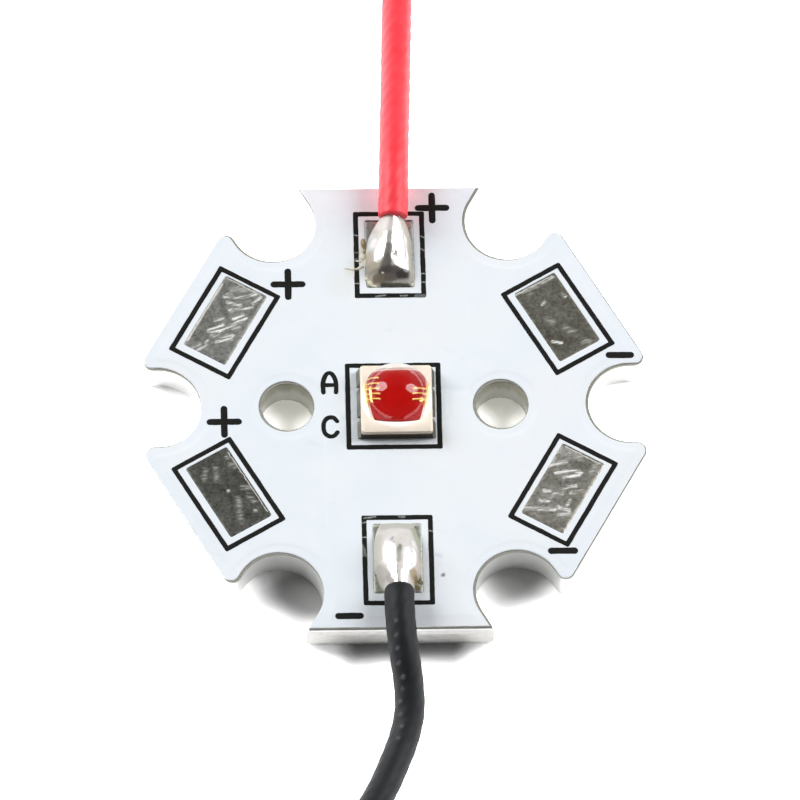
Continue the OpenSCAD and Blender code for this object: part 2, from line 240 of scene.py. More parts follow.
# ------------------------------------------------------------------ materials
def m_aluminium():
    g = Graph("aluminium")
    p = g.obj()
    x, y, z = g.xyz(p)
    streak = g.noise(g.vscale(p, (9, 9, 0.8)), 1.0, 3.0, 0.6)
    fine = g.noise(p, 26.0, 3.0, 0.6)
    blotch = g.noise(p, 1.3, 2.0, 0.5)
    tone = g.math("ADD", g.math("MULTIPLY", streak, 0.5), g.math("MULTIPLY", blotch, 0.5))
    col = g.ramp(tone, [(0.25, (0.64, 0.64, 0.63)), (0.5, (0.73, 0.73, 0.72)), (0.75, (0.82, 0.82, 0.81))])
    # resin dragged down the drilled walls
    hole = g.math("MAXIMUM", g.spot(g.flat(p), (4.125, 0, 0), 1.04, 0.05), g.spot(g.flat(p), (-4.125, 0, 0), 1.04, 0.05))
    smear = g.math("ADD", z, g.math("MULTIPLY", g.math("SUBTRACT", g.noise(g.vscale(p, (3, 3, 0.6)), 1.0, 2.0, 0.5), 0.5), 0.8))
    olive = g.math("MULTIPLY", hole, g.step(smear, 0.7, 1.2, 0.25, 0.85))
    col = g.mix(olive, col, srgb("a09e8c"))
    # the snapped web is torn and dull, and its grey is set darker still as painted shading on the front and rear faces
    web = g.step(g.math("ABSOLUTE", y), 9.40, 9.44)
    torn = g.noise(g.vscale(p, (5, 5, 14)), 1.0, 4.0, 0.7)
    col = g.mix(g.math("MULTIPLY", web, g.step(torn, 0.4, 0.6, 0.80, 1.0)), col, (0.44, 0.435, 0.42))
    rough = g.math("ADD", g.step(streak, 0.2, 0.8, 0.32, 0.46), g.math("MULTIPLY", web, 0.12))
    # towards the front (y below about -4.4) the walls get a matt, less metallic copy of the aluminium: painted light
    # that lifts the front slot walls
    slot = g.math("MULTIPLY", g.step(y, -5.4, -4.4, 1.0, 0.0), g.math("SUBTRACT", 1.0, web))
    col = g.mix(g.math("MULTIPLY", slot, 0.8), col, (0.66, 0.66, 0.645))
    metal = g.math("SUBTRACT", 1.0, g.math("MAXIMUM", g.math("MULTIPLY", olive, 0.8), g.math("MULTIPLY", slot, 0.6)))
    h = g.math("ADD", g.math("MULTIPLY", streak, 0.7), g.math("MULTIPLY", fine, 0.3))
    return g.set(col, rough, metal, g.bump(h, 0.010, 0.5))


def m_dielectric():
    g = Graph("dielectric")
    p = g.obj()
    n = g.noise(p, 11.0, 3.0, 0.6)
    col = g.ramp(n, [(0.3, srgb("8b8b83")), (0.7, srgb("a7a69b"))])
    return g.set(col, 0.62, 0.0, g.bump(n, 0.01, 0.5), Specular_IOR_Level=0.2)


def m_copper():
    g = Graph("copper")
    p = g.obj()
    n = g.noise(p, 5.0, 3.0, 0.6)
    col = g.ramp(n, [(0.3, srgb("a8643c")), (0.7, srgb("d08a5c"))])
    return g.set(col, g.step(n, 0.3, 0.7, 0.3, 0.45), 1.0, g.bump(n, 0.004, 0.5))


def m_mask():
    g = Graph("white_mask")
    p = g.obj()
    f = g.flat(p)
    big = g.noise(p, 0.28, 2.0, 0.5)
    mid = g.noise(p, 1.6, 3.0, 0.55)
    fine = g.noise(p, 16.0, 3.0, 0.6)
    tone = g.math("ADD", g.math("MULTIPLY", big, 0.75), g.math("MULTIPLY", mid, 0.25))
    col = g.ramp(tone, [(0.3, (0.785, 0.845, 0.895)), (0.5, (0.815, 0.865, 0.91)), (0.72, (0.85, 0.875, 0.90))])
    # smudges left by handling and soldering
    sm = g.noise(g.vscale(g.vrot(p, 28), (0.9, 3.2, 1)), 0.9, 4.0, 0.62)
    col = g.mix(g.step(sm, 0.62, 0.78, 0.0, 0.16), col, srgb("ccd2d4"))
    w = g.wobble(f, 6.0, 0.08)
    speck = g.spots(w, ((1.68, -7.22, 0.05, 0.07, 0.8), (1.62, -7.25, 0.02, 0.05, 0.5)))
    col = g.mix(speck, col, srgb("5e6266"))
    # flux film round the rear joint, thin and yellowish, and the rub beside the front one
    film = g.spots(g.wobble(f, 3.0, 0.25), ((-1.12, 6.55, 0.05, 0.45, 0.5), (-1.45, 5.75, 0.1, 0.5, 0.35),
                                            (-1.9, 5.3, 0.1, 0.9, 0.16)))
    col = g.mix(film, col, srgb("d9cfae"))
    rub = g.math("MULTIPLY", g.stroke(w, (1.38, -6.35), (1.62, -6.42), 0.03, 0.08), 0.3)
    col = g.mix(rub, col, srgb("b9c3cf"))
    h = g.math("ADD", g.math("MULTIPLY", mid, 0.7), g.math("MULTIPLY", fine, 0.3))
    return g.set(col, g.step(mid, 0.3, 0.7, 0.34, 0.46), 0.0, g.bump(h, 0.005, 0.3))


WORN = (  # (a, b, half width, softness, strength): rubbed places in the print
    ((-1.48, 7.32), (-1.20, 7.29), 0.012, 0.03, 1.0), ((-1.48, 6.57), (-1.20, 6.55), 0.01, 0.06, 0.35),
    ((-1.48, 6.27), (-1.20, 6.26), 0.02, 0.06, 0.3), ((-1.48, 5.86), (-1.20, 5.80), 0.02, 0.04, 0.95),
    ((-1.48, 5.22), (-1.20, 5.21), 0.014, 0.03, 0.9), ((1.08, 7.26), (1.36, 7.18), 0.014, 0.03, 1.0),
    ((1.10, 6.70), (1.38, 6.62), 0.022, 0.05, 0.55), ((1.10, 5.62), (1.38, 5.60), 0.016, 0.03, 1.0),
    ((1.10, 5.26), (1.38, 5.24), 0.014, 0.03, 0.85), ((-0.62, 4.66), (-0.26, 4.70), 0.018, 0.05, 0.7),
    ((0.34, 4.67), (0.58, 4.69), 0.015, 0.05, 0.75), ((0.92, 4.66), (1.25, 4.68), 0.05, 0.08, 0.45),
    ((-1.28, -4.78), (-0.86, -4.74), 0.03, 0.04, 0.9), ((0.04, -4.74), (0.24, -4.76), 0.02, 0.05, 0.6),
    ((-1.50, -5.62), (-1.20, -5.58), 0.014, 0.03, 1.0), ((-1.46, -4.98), (-1.20, -4.98), 0.016, 0.04, 0.8),
    ((-1.40, -5.98), (-1.26, -6.36), 0.05, 0.08, 0.5), ((-1.46, -6.34), (-1.22, -6.36), 0.02, 0.05, 0.5),
    ((1.10, -5.34), (1.36, -5.38), 0.014, 0.04, 0.7), ((1.1, -6.0), (1.14, -6.7), 0.015, 0.05, 0.3),
)


def m_ink():
    g = Graph("black_print")
    p = g.obj()
    n = g.noise(p, 14.0, 3.0, 0.6)
    col = g.ramp(n, [(0.35, srgb("070806")), (0.7, srgb("12140f"))])
    v = g.wobble(g.wobble(g.flat(p), 5.0, 0.05), 17.0, 0.022)
    worn = None
    for a, b, w, soft, k in WORN:
        m = g.math("MULTIPLY", g.stroke(v, a, b, w * 0.45, soft), k * 0.85)
        worn = m if worn is None else g.math("MAXIMUM", worn, m)
    # a few thin places elsewhere
    thin = g.noise(g.vadd(p, (3.1, 7.7, 0)), 2.7, 5.0, 0.7)
    fray = g.noise(p, 22.0, 2.0, 0.5)
    faint = g.step(g.math("ADD", thin, g.math("MULTIPLY", fray, 0.12)), 0.76, 0.82, 0.0, 0.35)
    worn = g.math("MAXIMUM", g.math("MULTIPLY", worn, g.step(fray, 0.36, 0.56, 0.35, 1.0)), faint)
    col = g.mix(worn, col, srgb("b9bdb9"))
    return g.set(col, g.step(n, 0.3, 0.7, 0.5, 0.65), 0.0, g.bump(n, 0.003, 0.5), Specular_IOR_Level=0.25)


def m_tin(name, dark, light, marks=(), lay=15, cloudy=0.75, seed=1.0):
    """Tin finish on a pad with strokes: b bright, m medium, s soft light (scratches and patches painted lighter, their
    brightness partly painted glint and sheen), d dark, k a painted shadow line in the groove at the edge, y a painted
    highlight on the rolled rim.
    """
    g = Graph(name)
    p = g.obj()
    q = g.vadd(p, (seed * 3.7, seed * 1.9, 0))
    cloud = g.noise(q, cloudy, 4.0, 0.6)
    grain = g.noise(q, 9.0, 4.0, 0.65)
    hair = g.noise(g.vscale(g.vrot(q, -25), (2.0, 24.0, 1)), 1.0, 3.0, 0.7)
    hair2 = g.noise(g.vscale(g.vrot(q, 40), (1.8, 22.0, 1)), 1.0, 3.0, 0.7)
    tone = g.math("ADD", g.math("MULTIPLY", cloud, 0.82), g.math("MULTIPLY", grain, 0.18))
    col = g.ramp(tone, [(0.34, dark), (0.66, light)])
    v = g.wobble(g.flat(p), 3.5, 0.05)
    v = g.wobble(v, 14.0, 0.012)
    lit, low, line, rim = None, None, None, None
    for kind, a, b, w in marks:
        if kind == "d":
            m = g.stroke(v, a, b, w * 0.5, 0.05 + w * 1.1)
            low = m if low is None else g.math("MAXIMUM", low, m)
        elif kind == "k":
            m = g.stroke(v, a, b, w, 0.025)
            line = m if line is None else g.math("MAXIMUM", line, m)
        elif kind == "y":
            m = g.stroke(v, a, b, w, 0.03)
            rim = m if rim is None else g.math("MAXIMUM", rim, m)
        else:
            soft = {"b": 0.085, "m": 0.10, "s": 0.16}[kind] + w * 0.8
            m = g.math("MULTIPLY", g.stroke(v, a, b, 0.0, soft), {"b": 1.5, "m": 0.9, "s": 0.45}[kind])
            lit = m if lit is None else g.math("MAXIMUM", lit, m)
    bundle = g.noise(g.vscale(g.vrot(g.vadd(q, (5, 5, 0)), -lay), (1.6, 21.0, 1)), 1.0, 3.0, 0.65)
    breakup = g.step(bundle, 0.40, 0.62, 0.12, 1.0)
    rough = g.step(grain, 0.3, 0.7, 0.26, 0.38)
    faint = g.math("MAXIMUM", g.step(hair, 0.62, 0.74, 0.0, 0.22), g.step(hair2, 0.64, 0.76, 0.0, 0.18))
    if low is not None:
        col = g.mix(g.math("MULTIPLY", g.math("MULTIPLY", low, breakup), 0.62), col, tuple(c * 0.45 for c in dark))
    h = g.math("ADD", g.math("MULTIPLY", grain, 0.4), g.math("MULTIPLY", hair, 0.3))
    if lit is not None:
        lit = g.math("MAXIMUM", g.math("MINIMUM", g.math("MULTIPLY", lit, breakup), 1.0), faint)
    else:
        lit = faint
    # painted glint: the scratches are painted near white and less metallic
    col = g.mix(lit, col, (0.93, 0.93, 0.92))
    # painted highlight: the rolled rim is painted cream
    if rim is not None:
        col = g.mix(g.math("MULTIPLY", rim, 0.75), col, (0.86, 0.84, 0.76))
        lit = g.math("MAXIMUM", lit, g.math("MULTIPLY", rim, 0.5))
    # painted shadow: a dark line in the groove along the edge
    if line is not None:
        col = g.mix(g.math("MULTIPLY", line, 0.8), col, (0.05, 0.05, 0.045))
    rough = g.math("ADD", rough, g.math("MULTIPLY", lit, 0.25))
    metal = g.math("SUBTRACT", 1.0, g.math("MULTIPLY", lit, 0.55))
    h = g.math("ADD", h, g.math("MULTIPLY", lit, 0.5))
    return g.set(col, rough, metal, g.bump(h, 0.006, 0.35))


def m_solder(name, dull=0.0, col_a=(0.80, 0.79, 0.77), col_b=(0.90, 0.89, 0.87), matt=("c6c1b8", "d6d1ca"),
             painted_light_and_flux=(), shine=(), cut=()):
    """Solder: mirror metal where shine says; elsewhere rougher and less metallic, its greys painted reflection and
    shading, with painted highlights and flux tints from the strokes.
    """
    g = Graph(name)
    p = g.obj()
    n = g.noise(p, 2.2, 2.0, 0.5)
    fine = g.noise(p, 15.0, 3.0, 0.6)
    col = g.ramp(n, [(0.3, col_a), (0.7, col_b)])
    metal = 1.0
    rough = g.step(fine, 0.35, 0.7, 0.20 + dull, 0.27 + dull)
    if shine:
        v = g.wobble(g.flat(p), 2.6, 0.07)
        lit = None
        for a, b, w, soft in shine:
            m = g.stroke(v, a, b, w, soft)
            lit = m if lit is None else g.math("MAXIMUM", lit, m)
        for a, b, w, soft in cut:
            lit = g.math("MULTIPLY", lit, g.math("SUBTRACT", 1.0, g.stroke(v, a, b, w, soft)))
        # off the mirror zones: greys that are painted reflection and shading
        skin = g.ramp(g.math("ADD", g.math("MULTIPLY", n, 0.6), g.math("MULTIPLY", fine, 0.4)),
                      [(0.3, srgb(matt[0])), (0.7, srgb(matt[1]))])
        # strokes: painted reflection, shading and highlight, and flux stains
        for a, b, w, soft, k, hexa in painted_light_and_flux:
            skin = g.mix(g.math("MULTIPLY", g.stroke(v, a, b, w, soft), k), skin, srgb(hexa))
        col = g.mix(lit, skin, col)
        rough = g.math("ADD", rough, g.math("MULTIPLY", g.math("SUBTRACT", 1.0, lit), 0.28))
        metal = g.step(lit, 0.05, 0.9, 0.12, 1.0)
    return g.set(col, rough, metal,
                 g.bump(g.math("ADD", g.math("MULTIPLY", n, 0.9), g.math("MULTIPLY", fine, 0.1)), 0.012, 0.2))


def m_flux(name, a, b):
    g = Graph(name)
    p = g.obj()
    n = g.noise(p, 5.0, 3.0, 0.6)
    col = g.ramp(n, [(0.3, a), (0.7, b)])
    return g.set(col, g.step(n, 0.3, 0.7, 0.38, 0.55), 0.0, g.bump(n, 0.02, 0.5), IOR=1.5)


def m_strand():
    g = Graph("tinned_strands")
    p = g.obj()
    n = g.noise(p, 6.0, 3.0, 0.6)
    col = g.ramp(n, [(0.3, srgb("c9c7c0")), (0.7, srgb("e4e2dc"))])
    return g.set(col, g.step(n, 0.3, 0.7, 0.24, 0.38), 1.0, g.bump(n, 0.01, 0.4))


def m_wire(name, base, deep, glow, rough, spec=0.5, painted_glints=()):
    g = Graph(name)
    p = g.obj()
    n = g.noise(p, 1.1, 3.0, 0.55)
    fine = g.noise(p, 20.0, 3.0, 0.6)
    spots = g.noise(p, 3.4, 2.0, 0.5)
    col = g.ramp(n, [(0.3, deep), (0.55, base), (0.8, base)])
    col = g.mix(g.step(spots, 0.66, 0.74, 0.0, 0.25), col, glow)
    if painted_glints:
        x, y, z = g.xyz(p)
        # painted shading: darker from y -10.2 to -12.8, where the wire runs down towards the floor
        col = g.mix(g.step(y, -12.8, -10.2, 0.0, 0.55), col, (0.004, 0.0045, 0.006))
        # painted glints: light spots along the wire where the twist ridges catch the lamp
        v = g.wobble(g.flat(p), 7.0, 0.05)
        m = g.spots(v, [(x, y, 0.02, 0.11, k * 0.75) for x, y, k in painted_glints])
        col = g.mix(m, col, srgb("63666b"))
    return g.set(col, g.step(fine, 0.3, 0.7, rough, rough + 0.1), 0.0,
                 g.bump(g.math("ADD", g.math("MULTIPLY", fine, 0.4), g.math("MULTIPLY", spots, 0.6)), 0.008, 0.5),
                 Specular_IOR_Level=spec)


def m_ceramic():
    g = Graph("led_ceramic")
    p = g.obj()
    n = g.noise(p, 9.0, 3.0, 0.6)
    col = g.ramp(n, [(0.3, srgb("c9bfae")), (0.7, srgb("dad1c3"))])
    x, y, z = g.xyz(p)
    # painted shadow: the front face and the lower left side of the carrier are painted dark where they stand in shadow
    down = g.step(z, 1.98, 2.07, 1.0, 0.0)
    col = g.mix(g.math("MULTIPLY", g.step(y, -1.39, -1.37, 1.0, 0.0), g.math("MAXIMUM", down, 0.35)), col, srgb("2a2214"))
    col = g.mix(g.math("MULTIPLY", g.step(x, -1.335, -1.32, 0.8, 0.0), down), col, srgb("77756a"))
    return g.set(col, 0.55, 0.0, g.bump(n, 0.005, 0.5), Specular_IOR_Level=0.3)


def m_terminal(name, a, b, metal=0.6):
    g = Graph(name)
    p = g.obj()
    n = g.noise(p, 7.0, 3.0, 0.6)
    col = g.ramp(n, [(0.3, a), (0.7, b)])
    return g.set(col, g.step(n, 0.3, 0.7, 0.35, 0.5), metal, g.bump(n, 0.008, 0.5))


def m_gold(name="led_gold"):
    g = Graph(name)
    p = g.obj()
    n = g.noise(p, 12.0, 2.0, 0.5)
    col = g.ramp(n, [(0.3, (1.0, 0.60, 0.13)), (0.7, (1.0, 0.74, 0.26))])
    return g.set(col, 0.45, 0.8, g.bump(n, 0.003, 0.4))


def m_topmetal():
    """Gold on the carrier where the wires land, covered by the casting elsewhere."""
    g = Graph("led_top_metal")
    p = g.obj()
    n = g.noise(p, 12.0, 2.0, 0.5)
    x, y, z = g.xyz(p)
    m = g.step(g.math("ABSOLUTE", g.math("SUBTRACT", x, 0.04)), 0.56, 0.62)
    m = g.math("MULTIPLY", m, g.math("MULTIPLY", g.step(y, -0.30, -0.14), g.step(y, 0.46, 0.66, 1.0, 0.0)))
    gold = g.ramp(n, [(0.3, (1.0, 0.60, 0.13)), (0.7, (1.0, 0.74, 0.26))])
    pale = g.ramp(n, [(0.3, (0.86, 0.80, 0.72)), (0.7, (0.92, 0.88, 0.81))])
    return g.set(g.mix(m, pale, gold), 0.45, g.math("MULTIPLY", m, 0.8), g.bump(n, 0.003, 0.4))


def m_casting():
    g = Graph("led_white")
    p = g.obj()
    n = g.noise(p, 6.0, 3.0, 0.6)
    col = g.ramp(n, [(0.3, (0.92, 0.89, 0.85)), (0.7, (0.96, 0.94, 0.91))])
    # painted light: whiter inside the dome's foot, standing in for light the dome gathers onto the casting, beige
    # beyond
    r = g.vmath("LENGTH", g.vscale(g.vadd(g.flat(p), (-0.04, 0, 0)), (1.0, 1.32, 1)), (0, 0, 0), "Value")
    col = g.mix(g.step(r, 0.98, 1.46), col, (0.60, 0.54, 0.475))
    return g.set(col, 0.5, 0.0, g.bump(n, 0.005, 0.4))


def m_die():
    g = Graph("led_die")
    p = g.obj()
    n = g.noise(p, 5.0, 3.0, 0.6)
    col = g.ramp(n, [(0.3, (0.255, 0.0024, 0.0016)), (0.7, (0.31, 0.0030, 0.0019))])
    return g.set(col, 0.5, 0.0, g.bump(n, 0.003, 0.4), Specular_IOR_Level=0.0)


def m_clear():
    """Clear silicone; the light of the lamps passes through it."""
    g = Graph("led_clear")
    p = g.obj()
    n = g.noise(p, 3.0, 2.0, 0.5)
    g.set((0.99, 0.985, 0.97), g.step(n, 0.3, 0.7, 0.10, 0.13), 0.0, None,
          Transmission_Weight=1.0, IOR=1.46)
    lp = g.new("ShaderNodeLightPath")
    tr = g.new("ShaderNodeBsdfTransparent")
    tr.inputs[0].default_value = (0.96, 0.95, 0.93, 1)
    mx = g.new("ShaderNodeMixShader")
    g.t.links.new(lp.outputs["Is Shadow Ray"], mx.inputs[0])
    g.t.links.new(g.b.outputs[0], mx.inputs[1])
    g.t.links.new(tr.outputs[0], mx.inputs[2])
    g.t.links.new(mx.outputs[0], g.out.inputs[0])
    return g.m


MARKS = {
    "b": (("b", (-7.13, 3.27), (-6.56, 3.49), 0.05), ("b", (-7.08, 3.26), (-6.67, 3.25), 0.03),
          ("b", (-6.72, 3.25), (-5.65, 3.77), 0.022), ("b", (-6.12, 3.75), (-5.78, 3.93), 0.03),
          ("m", (-6.87, 3.70), (-6.55, 3.78), 0.04), ("m", (-6.49, 4.72), (-6.05, 4.67), 0.015),
          ("m", (-6.05, 4.67), (-5.27, 4.79), 0.018), ("m", (-5.38, 4.40), (-5.06, 4.69), 0.02),
          ("m", (-6.38, 4.82), (-6.17, 4.83), 0.012), ("b", (-6.83, 2.78), (-6.21, 2.89), 0.012),
          ("m", (-7.76, 2.56), (-7.45, 2.67), 0.02), ("m", (-7.59, 2.38), (-7.27, 2.61), 0.016),
          ("m", (-7.27, 2.61), (-7.16, 2.87), 0.014), ("m", (-6.20, 3.32), (-5.92, 3.40), 0.02),
          ("m", (-6.36, 4.47), (-5.82, 4.32), 0.012), ("s", (-6.17, 4.99), (-5.52, 5.04), 0.14),
          ("m", (-6.98, 3.07), (-6.21, 3.03), 0.05), ("m", (-5.87, 4.21), (-5.41, 4.23), 0.02),
          ("m", (-6.29, 4.12), (-6.03, 4.18), 0.012),
          ("d", (-5.67, 4.09), (-5.64, 4.06), 0.05), ("d", (-6.54, 4.47), (-6.45, 3.92), 0.12),
          ("d", (-7.63, 2.99), (-7.55, 2.93), 0.07), ("d", (-6.64, 1.97), (-6.59, 1.94), 0.08),
          ("d", (-4.96, 4.63), (-5.04, 4.51), 0.05)),
    "e": (("m", (4.81, 4.70), (5.55, 5.01), 0.03), ("m", (5.55, 5.01), (6.26, 5.41), 0.03),
          ("b", (6.15, 2.64), (6.49, 2.57), 0.035), ("d", (5.89, 3.26), (6.02, 2.90), 0.04),
          ("s", (6.66, 3.24), (7.04, 2.98), 0.12), ("s", (6.00, 3.62), (6.20, 3.48), 0.08),
          ("s", (5.10, 4.82), (5.36, 4.75), 0.06), ("d", (6.15, 4.37), (6.23, 4.28), 0.12),
          ("s", (7.37, 2.66), (7.57, 2.60), 0.1), ("m", (5.81, 4.23), (5.92, 4.34), 0.02),
          ("m", (6.58, 4.68), (6.70, 4.57), 0.03)),
    "c": (("d", (-6.52, -2.35), (-6.52, -3.31), 0.02), ("d", (-6.51, -3.31), (-6.39, -3.88), 0.028),
          ("d", (-6.39, -3.88), (-6.30, -4.45), 0.032), ("d", (-6.30, -4.45), (-6.27, -5.02), 0.03),
          ("d", (-7.31, -3.37), (-6.72, -3.35), 0.022), ("d", (-6.31, -3.32), (-5.82, -3.29), 0.025),
          ("d", (-6.85, -3.48), (-6.57, -3.57), 0.04), ("m", (-6.49, -3.57), (-6.46, -3.56), 0.015),
          ("b", (-5.49, -4.42), (-5.42, -4.42), 0.014), ("s", (-6.11, -3.89), (-6.00, -4.88), 0.05),
          ("s", (-7.35, -2.68), (-7.38, -3.08), 0.03), ("s", (-6.94, -2.60), (-6.94, -3.14), 0.02),
          ("s", (-6.37, -2.46), (-6.19, -2.52), 0.05), ("s", (-5.70, -3.75), (-5.50, -4.04), 0.05),
          ("d", (-6.20, -2.92), (-6.07, -3.04), 0.1), ("d", (-5.76, -4.54), (-5.66, -4.60), 0.07),
          ("m", (-6.54, -2.12), (-6.44, -2.18), 0.015), ("s", (-5.95, -3.43), (-5.69, -3.44), 0.03)),
    "f": (("b", (6.09, -2.98), (6.69, -2.88), 0.035), ("b", (6.69, -2.88), (7.07, -2.95), 0.03),
          ("b", (7.07, -2.95), (6.99, -3.08), 0.025), ("b", (6.99, -3.08), (6.60, -3.13), 0.025),
          ("b", (6.60, -3.13), (6.40, -3.14), 0.02), ("b", (6.36, -3.63), (6.87, -3.52), 0.012),
          ("m", (5.87, -2.63), (6.54, -2.49), 0.03), ("b", (5.49, -4.11), (5.77, -4.16), 0.035),
          ("m", (4.92, -4.43), (6.02, -4.50), 0.05), ("b", (6.18, -4.42), (6.56, -4.56), 0.06),
          ("m", (6.17, -4.76), (6.55, -4.70), 0.07), ("m", (5.91, -3.96), (6.04, -3.85), 0.012),
          ("m", (6.04, -3.85), (6.35, -3.85), 0.012), ("s", (6.25, -1.98), (7.01, -2.30), 0.13),
          ("s", (6.04, -2.29), (5.87, -2.60), 0.06), ("d", (6.08, -3.34), (6.21, -3.40), 0.12),
          ("d", (6.75, -2.58), (7.34, -2.70), 0.1), ("d", (5.98, -4.07), (6.06, -4.13), 0.05),
          ("d", (6.21, -5.13), (6.31, -5.15), 0.08), ("d", (6.47, -3.31), (6.98, -3.29), 0.05),
          ("d", (5.84, -2.77), (6.49, -2.66), 0.02), ("d", (4.89, -4.59), (5.91, -4.64), 0.03),
          ("m", (6.66, -3.83), (7.12, -3.72), 0.02), ("m", (6.60, -4.14), (6.51, -4.34), 0.03),
          ("s", (7.65, -2.68), (7.46, -2.96), 0.06), ("m", (5.63, -3.70), (5.84, -3.73), 0.03)),
}

PADS = {"a": (-0.05, 6.5, 1.88, 2.92, 0), "d": (-0.05, -6.5, 1.88, 2.92, 0), "b": (-6.459, 3.70, 1.84, 3.38, 150),
        "c": (-6.459, -3.62, 1.84, 3.38, 210), "e": (6.359, 3.70, 1.84, 3.38, 30), "f": (6.359, -3.62, 1.84, 3.38, 330)}


def edge_marks(key, kind, side, a, b, off, w):
    """A line along one edge of a pad, off mm inside it, from fraction a to b; side 0 +w, 1 +h, 2 -w, 3 -h."""
    cx, cy, pw, ph, ang = PADS[key]
    hx, hy = pw / 2 - off, ph / 2 - off
    ends = {0: ((hx, -hy), (hx, hy)), 1: ((hx, hy), (-hx, hy)), 2: ((-hx, hy), (-hx, -hy)), 3: ((-hx, -hy), (hx, -hy))}[side]
    c, s = math.cos(math.radians(ang)), math.sin(math.radians(ang))
    out = []
    for t in (a, b):
        x = ends[0][0] + (ends[1][0] - ends[0][0]) * t
        y = ends[0][1] + (ends[1][1] - ends[0][1]) * t
        out.append((cx + x * c - y * s, cy + x * s + y * c))
    return (kind, out[0], out[1], w)


# edge strokes per pad: y paints a cream highlight on the rolled rim, k paints a dark line of shadow in the groove at
# the edge
EDGES = {
    "b": (edge_marks("b", "y", 3, 0.12, 0.98, 0.07, 0.018), edge_marks("b", "k", 3, 0.35, 0.95, 0.02, 0.006),
          edge_marks("b", "y", 0, 0.1, 0.95, 0.06, 0.02)),
    "e": (edge_marks("e", "y", 1, 0.05, 0.95, 0.07, 0.014), edge_marks("e", "k", 1, 0.05, 0.9, 0.02, 0.006)),
    "c": (edge_marks("c", "y", 2, 0.05, 0.95, 0.07, 0.010), edge_marks("c", "k", 2, 0.05, 0.95, 0.02, 0.006),
          edge_marks("c", "k", 3, 0.1, 0.9, 0.02, 0.004)),
    "f": (edge_marks("f", "y", 1, 0.05, 0.95, 0.07, 0.012), edge_marks("f", "k", 1, 0.05, 0.95, 0.02, 0.006)),
    "a": (edge_marks("a", "k", 1, 0.0, 0.26, 0.03, 0.02), edge_marks("a", "k", 1, 0.72, 1.0, 0.03, 0.02),
          edge_marks("a", "k", 3, 0.3, 0.9, 0.04, 0.03)),
    "d": (edge_marks("d", "y", 1, 0.0, 1.0, 0.05, 0.02), edge_marks("d", "k", 1, 0.84, 0.94, 0.14, 0.03)),
}

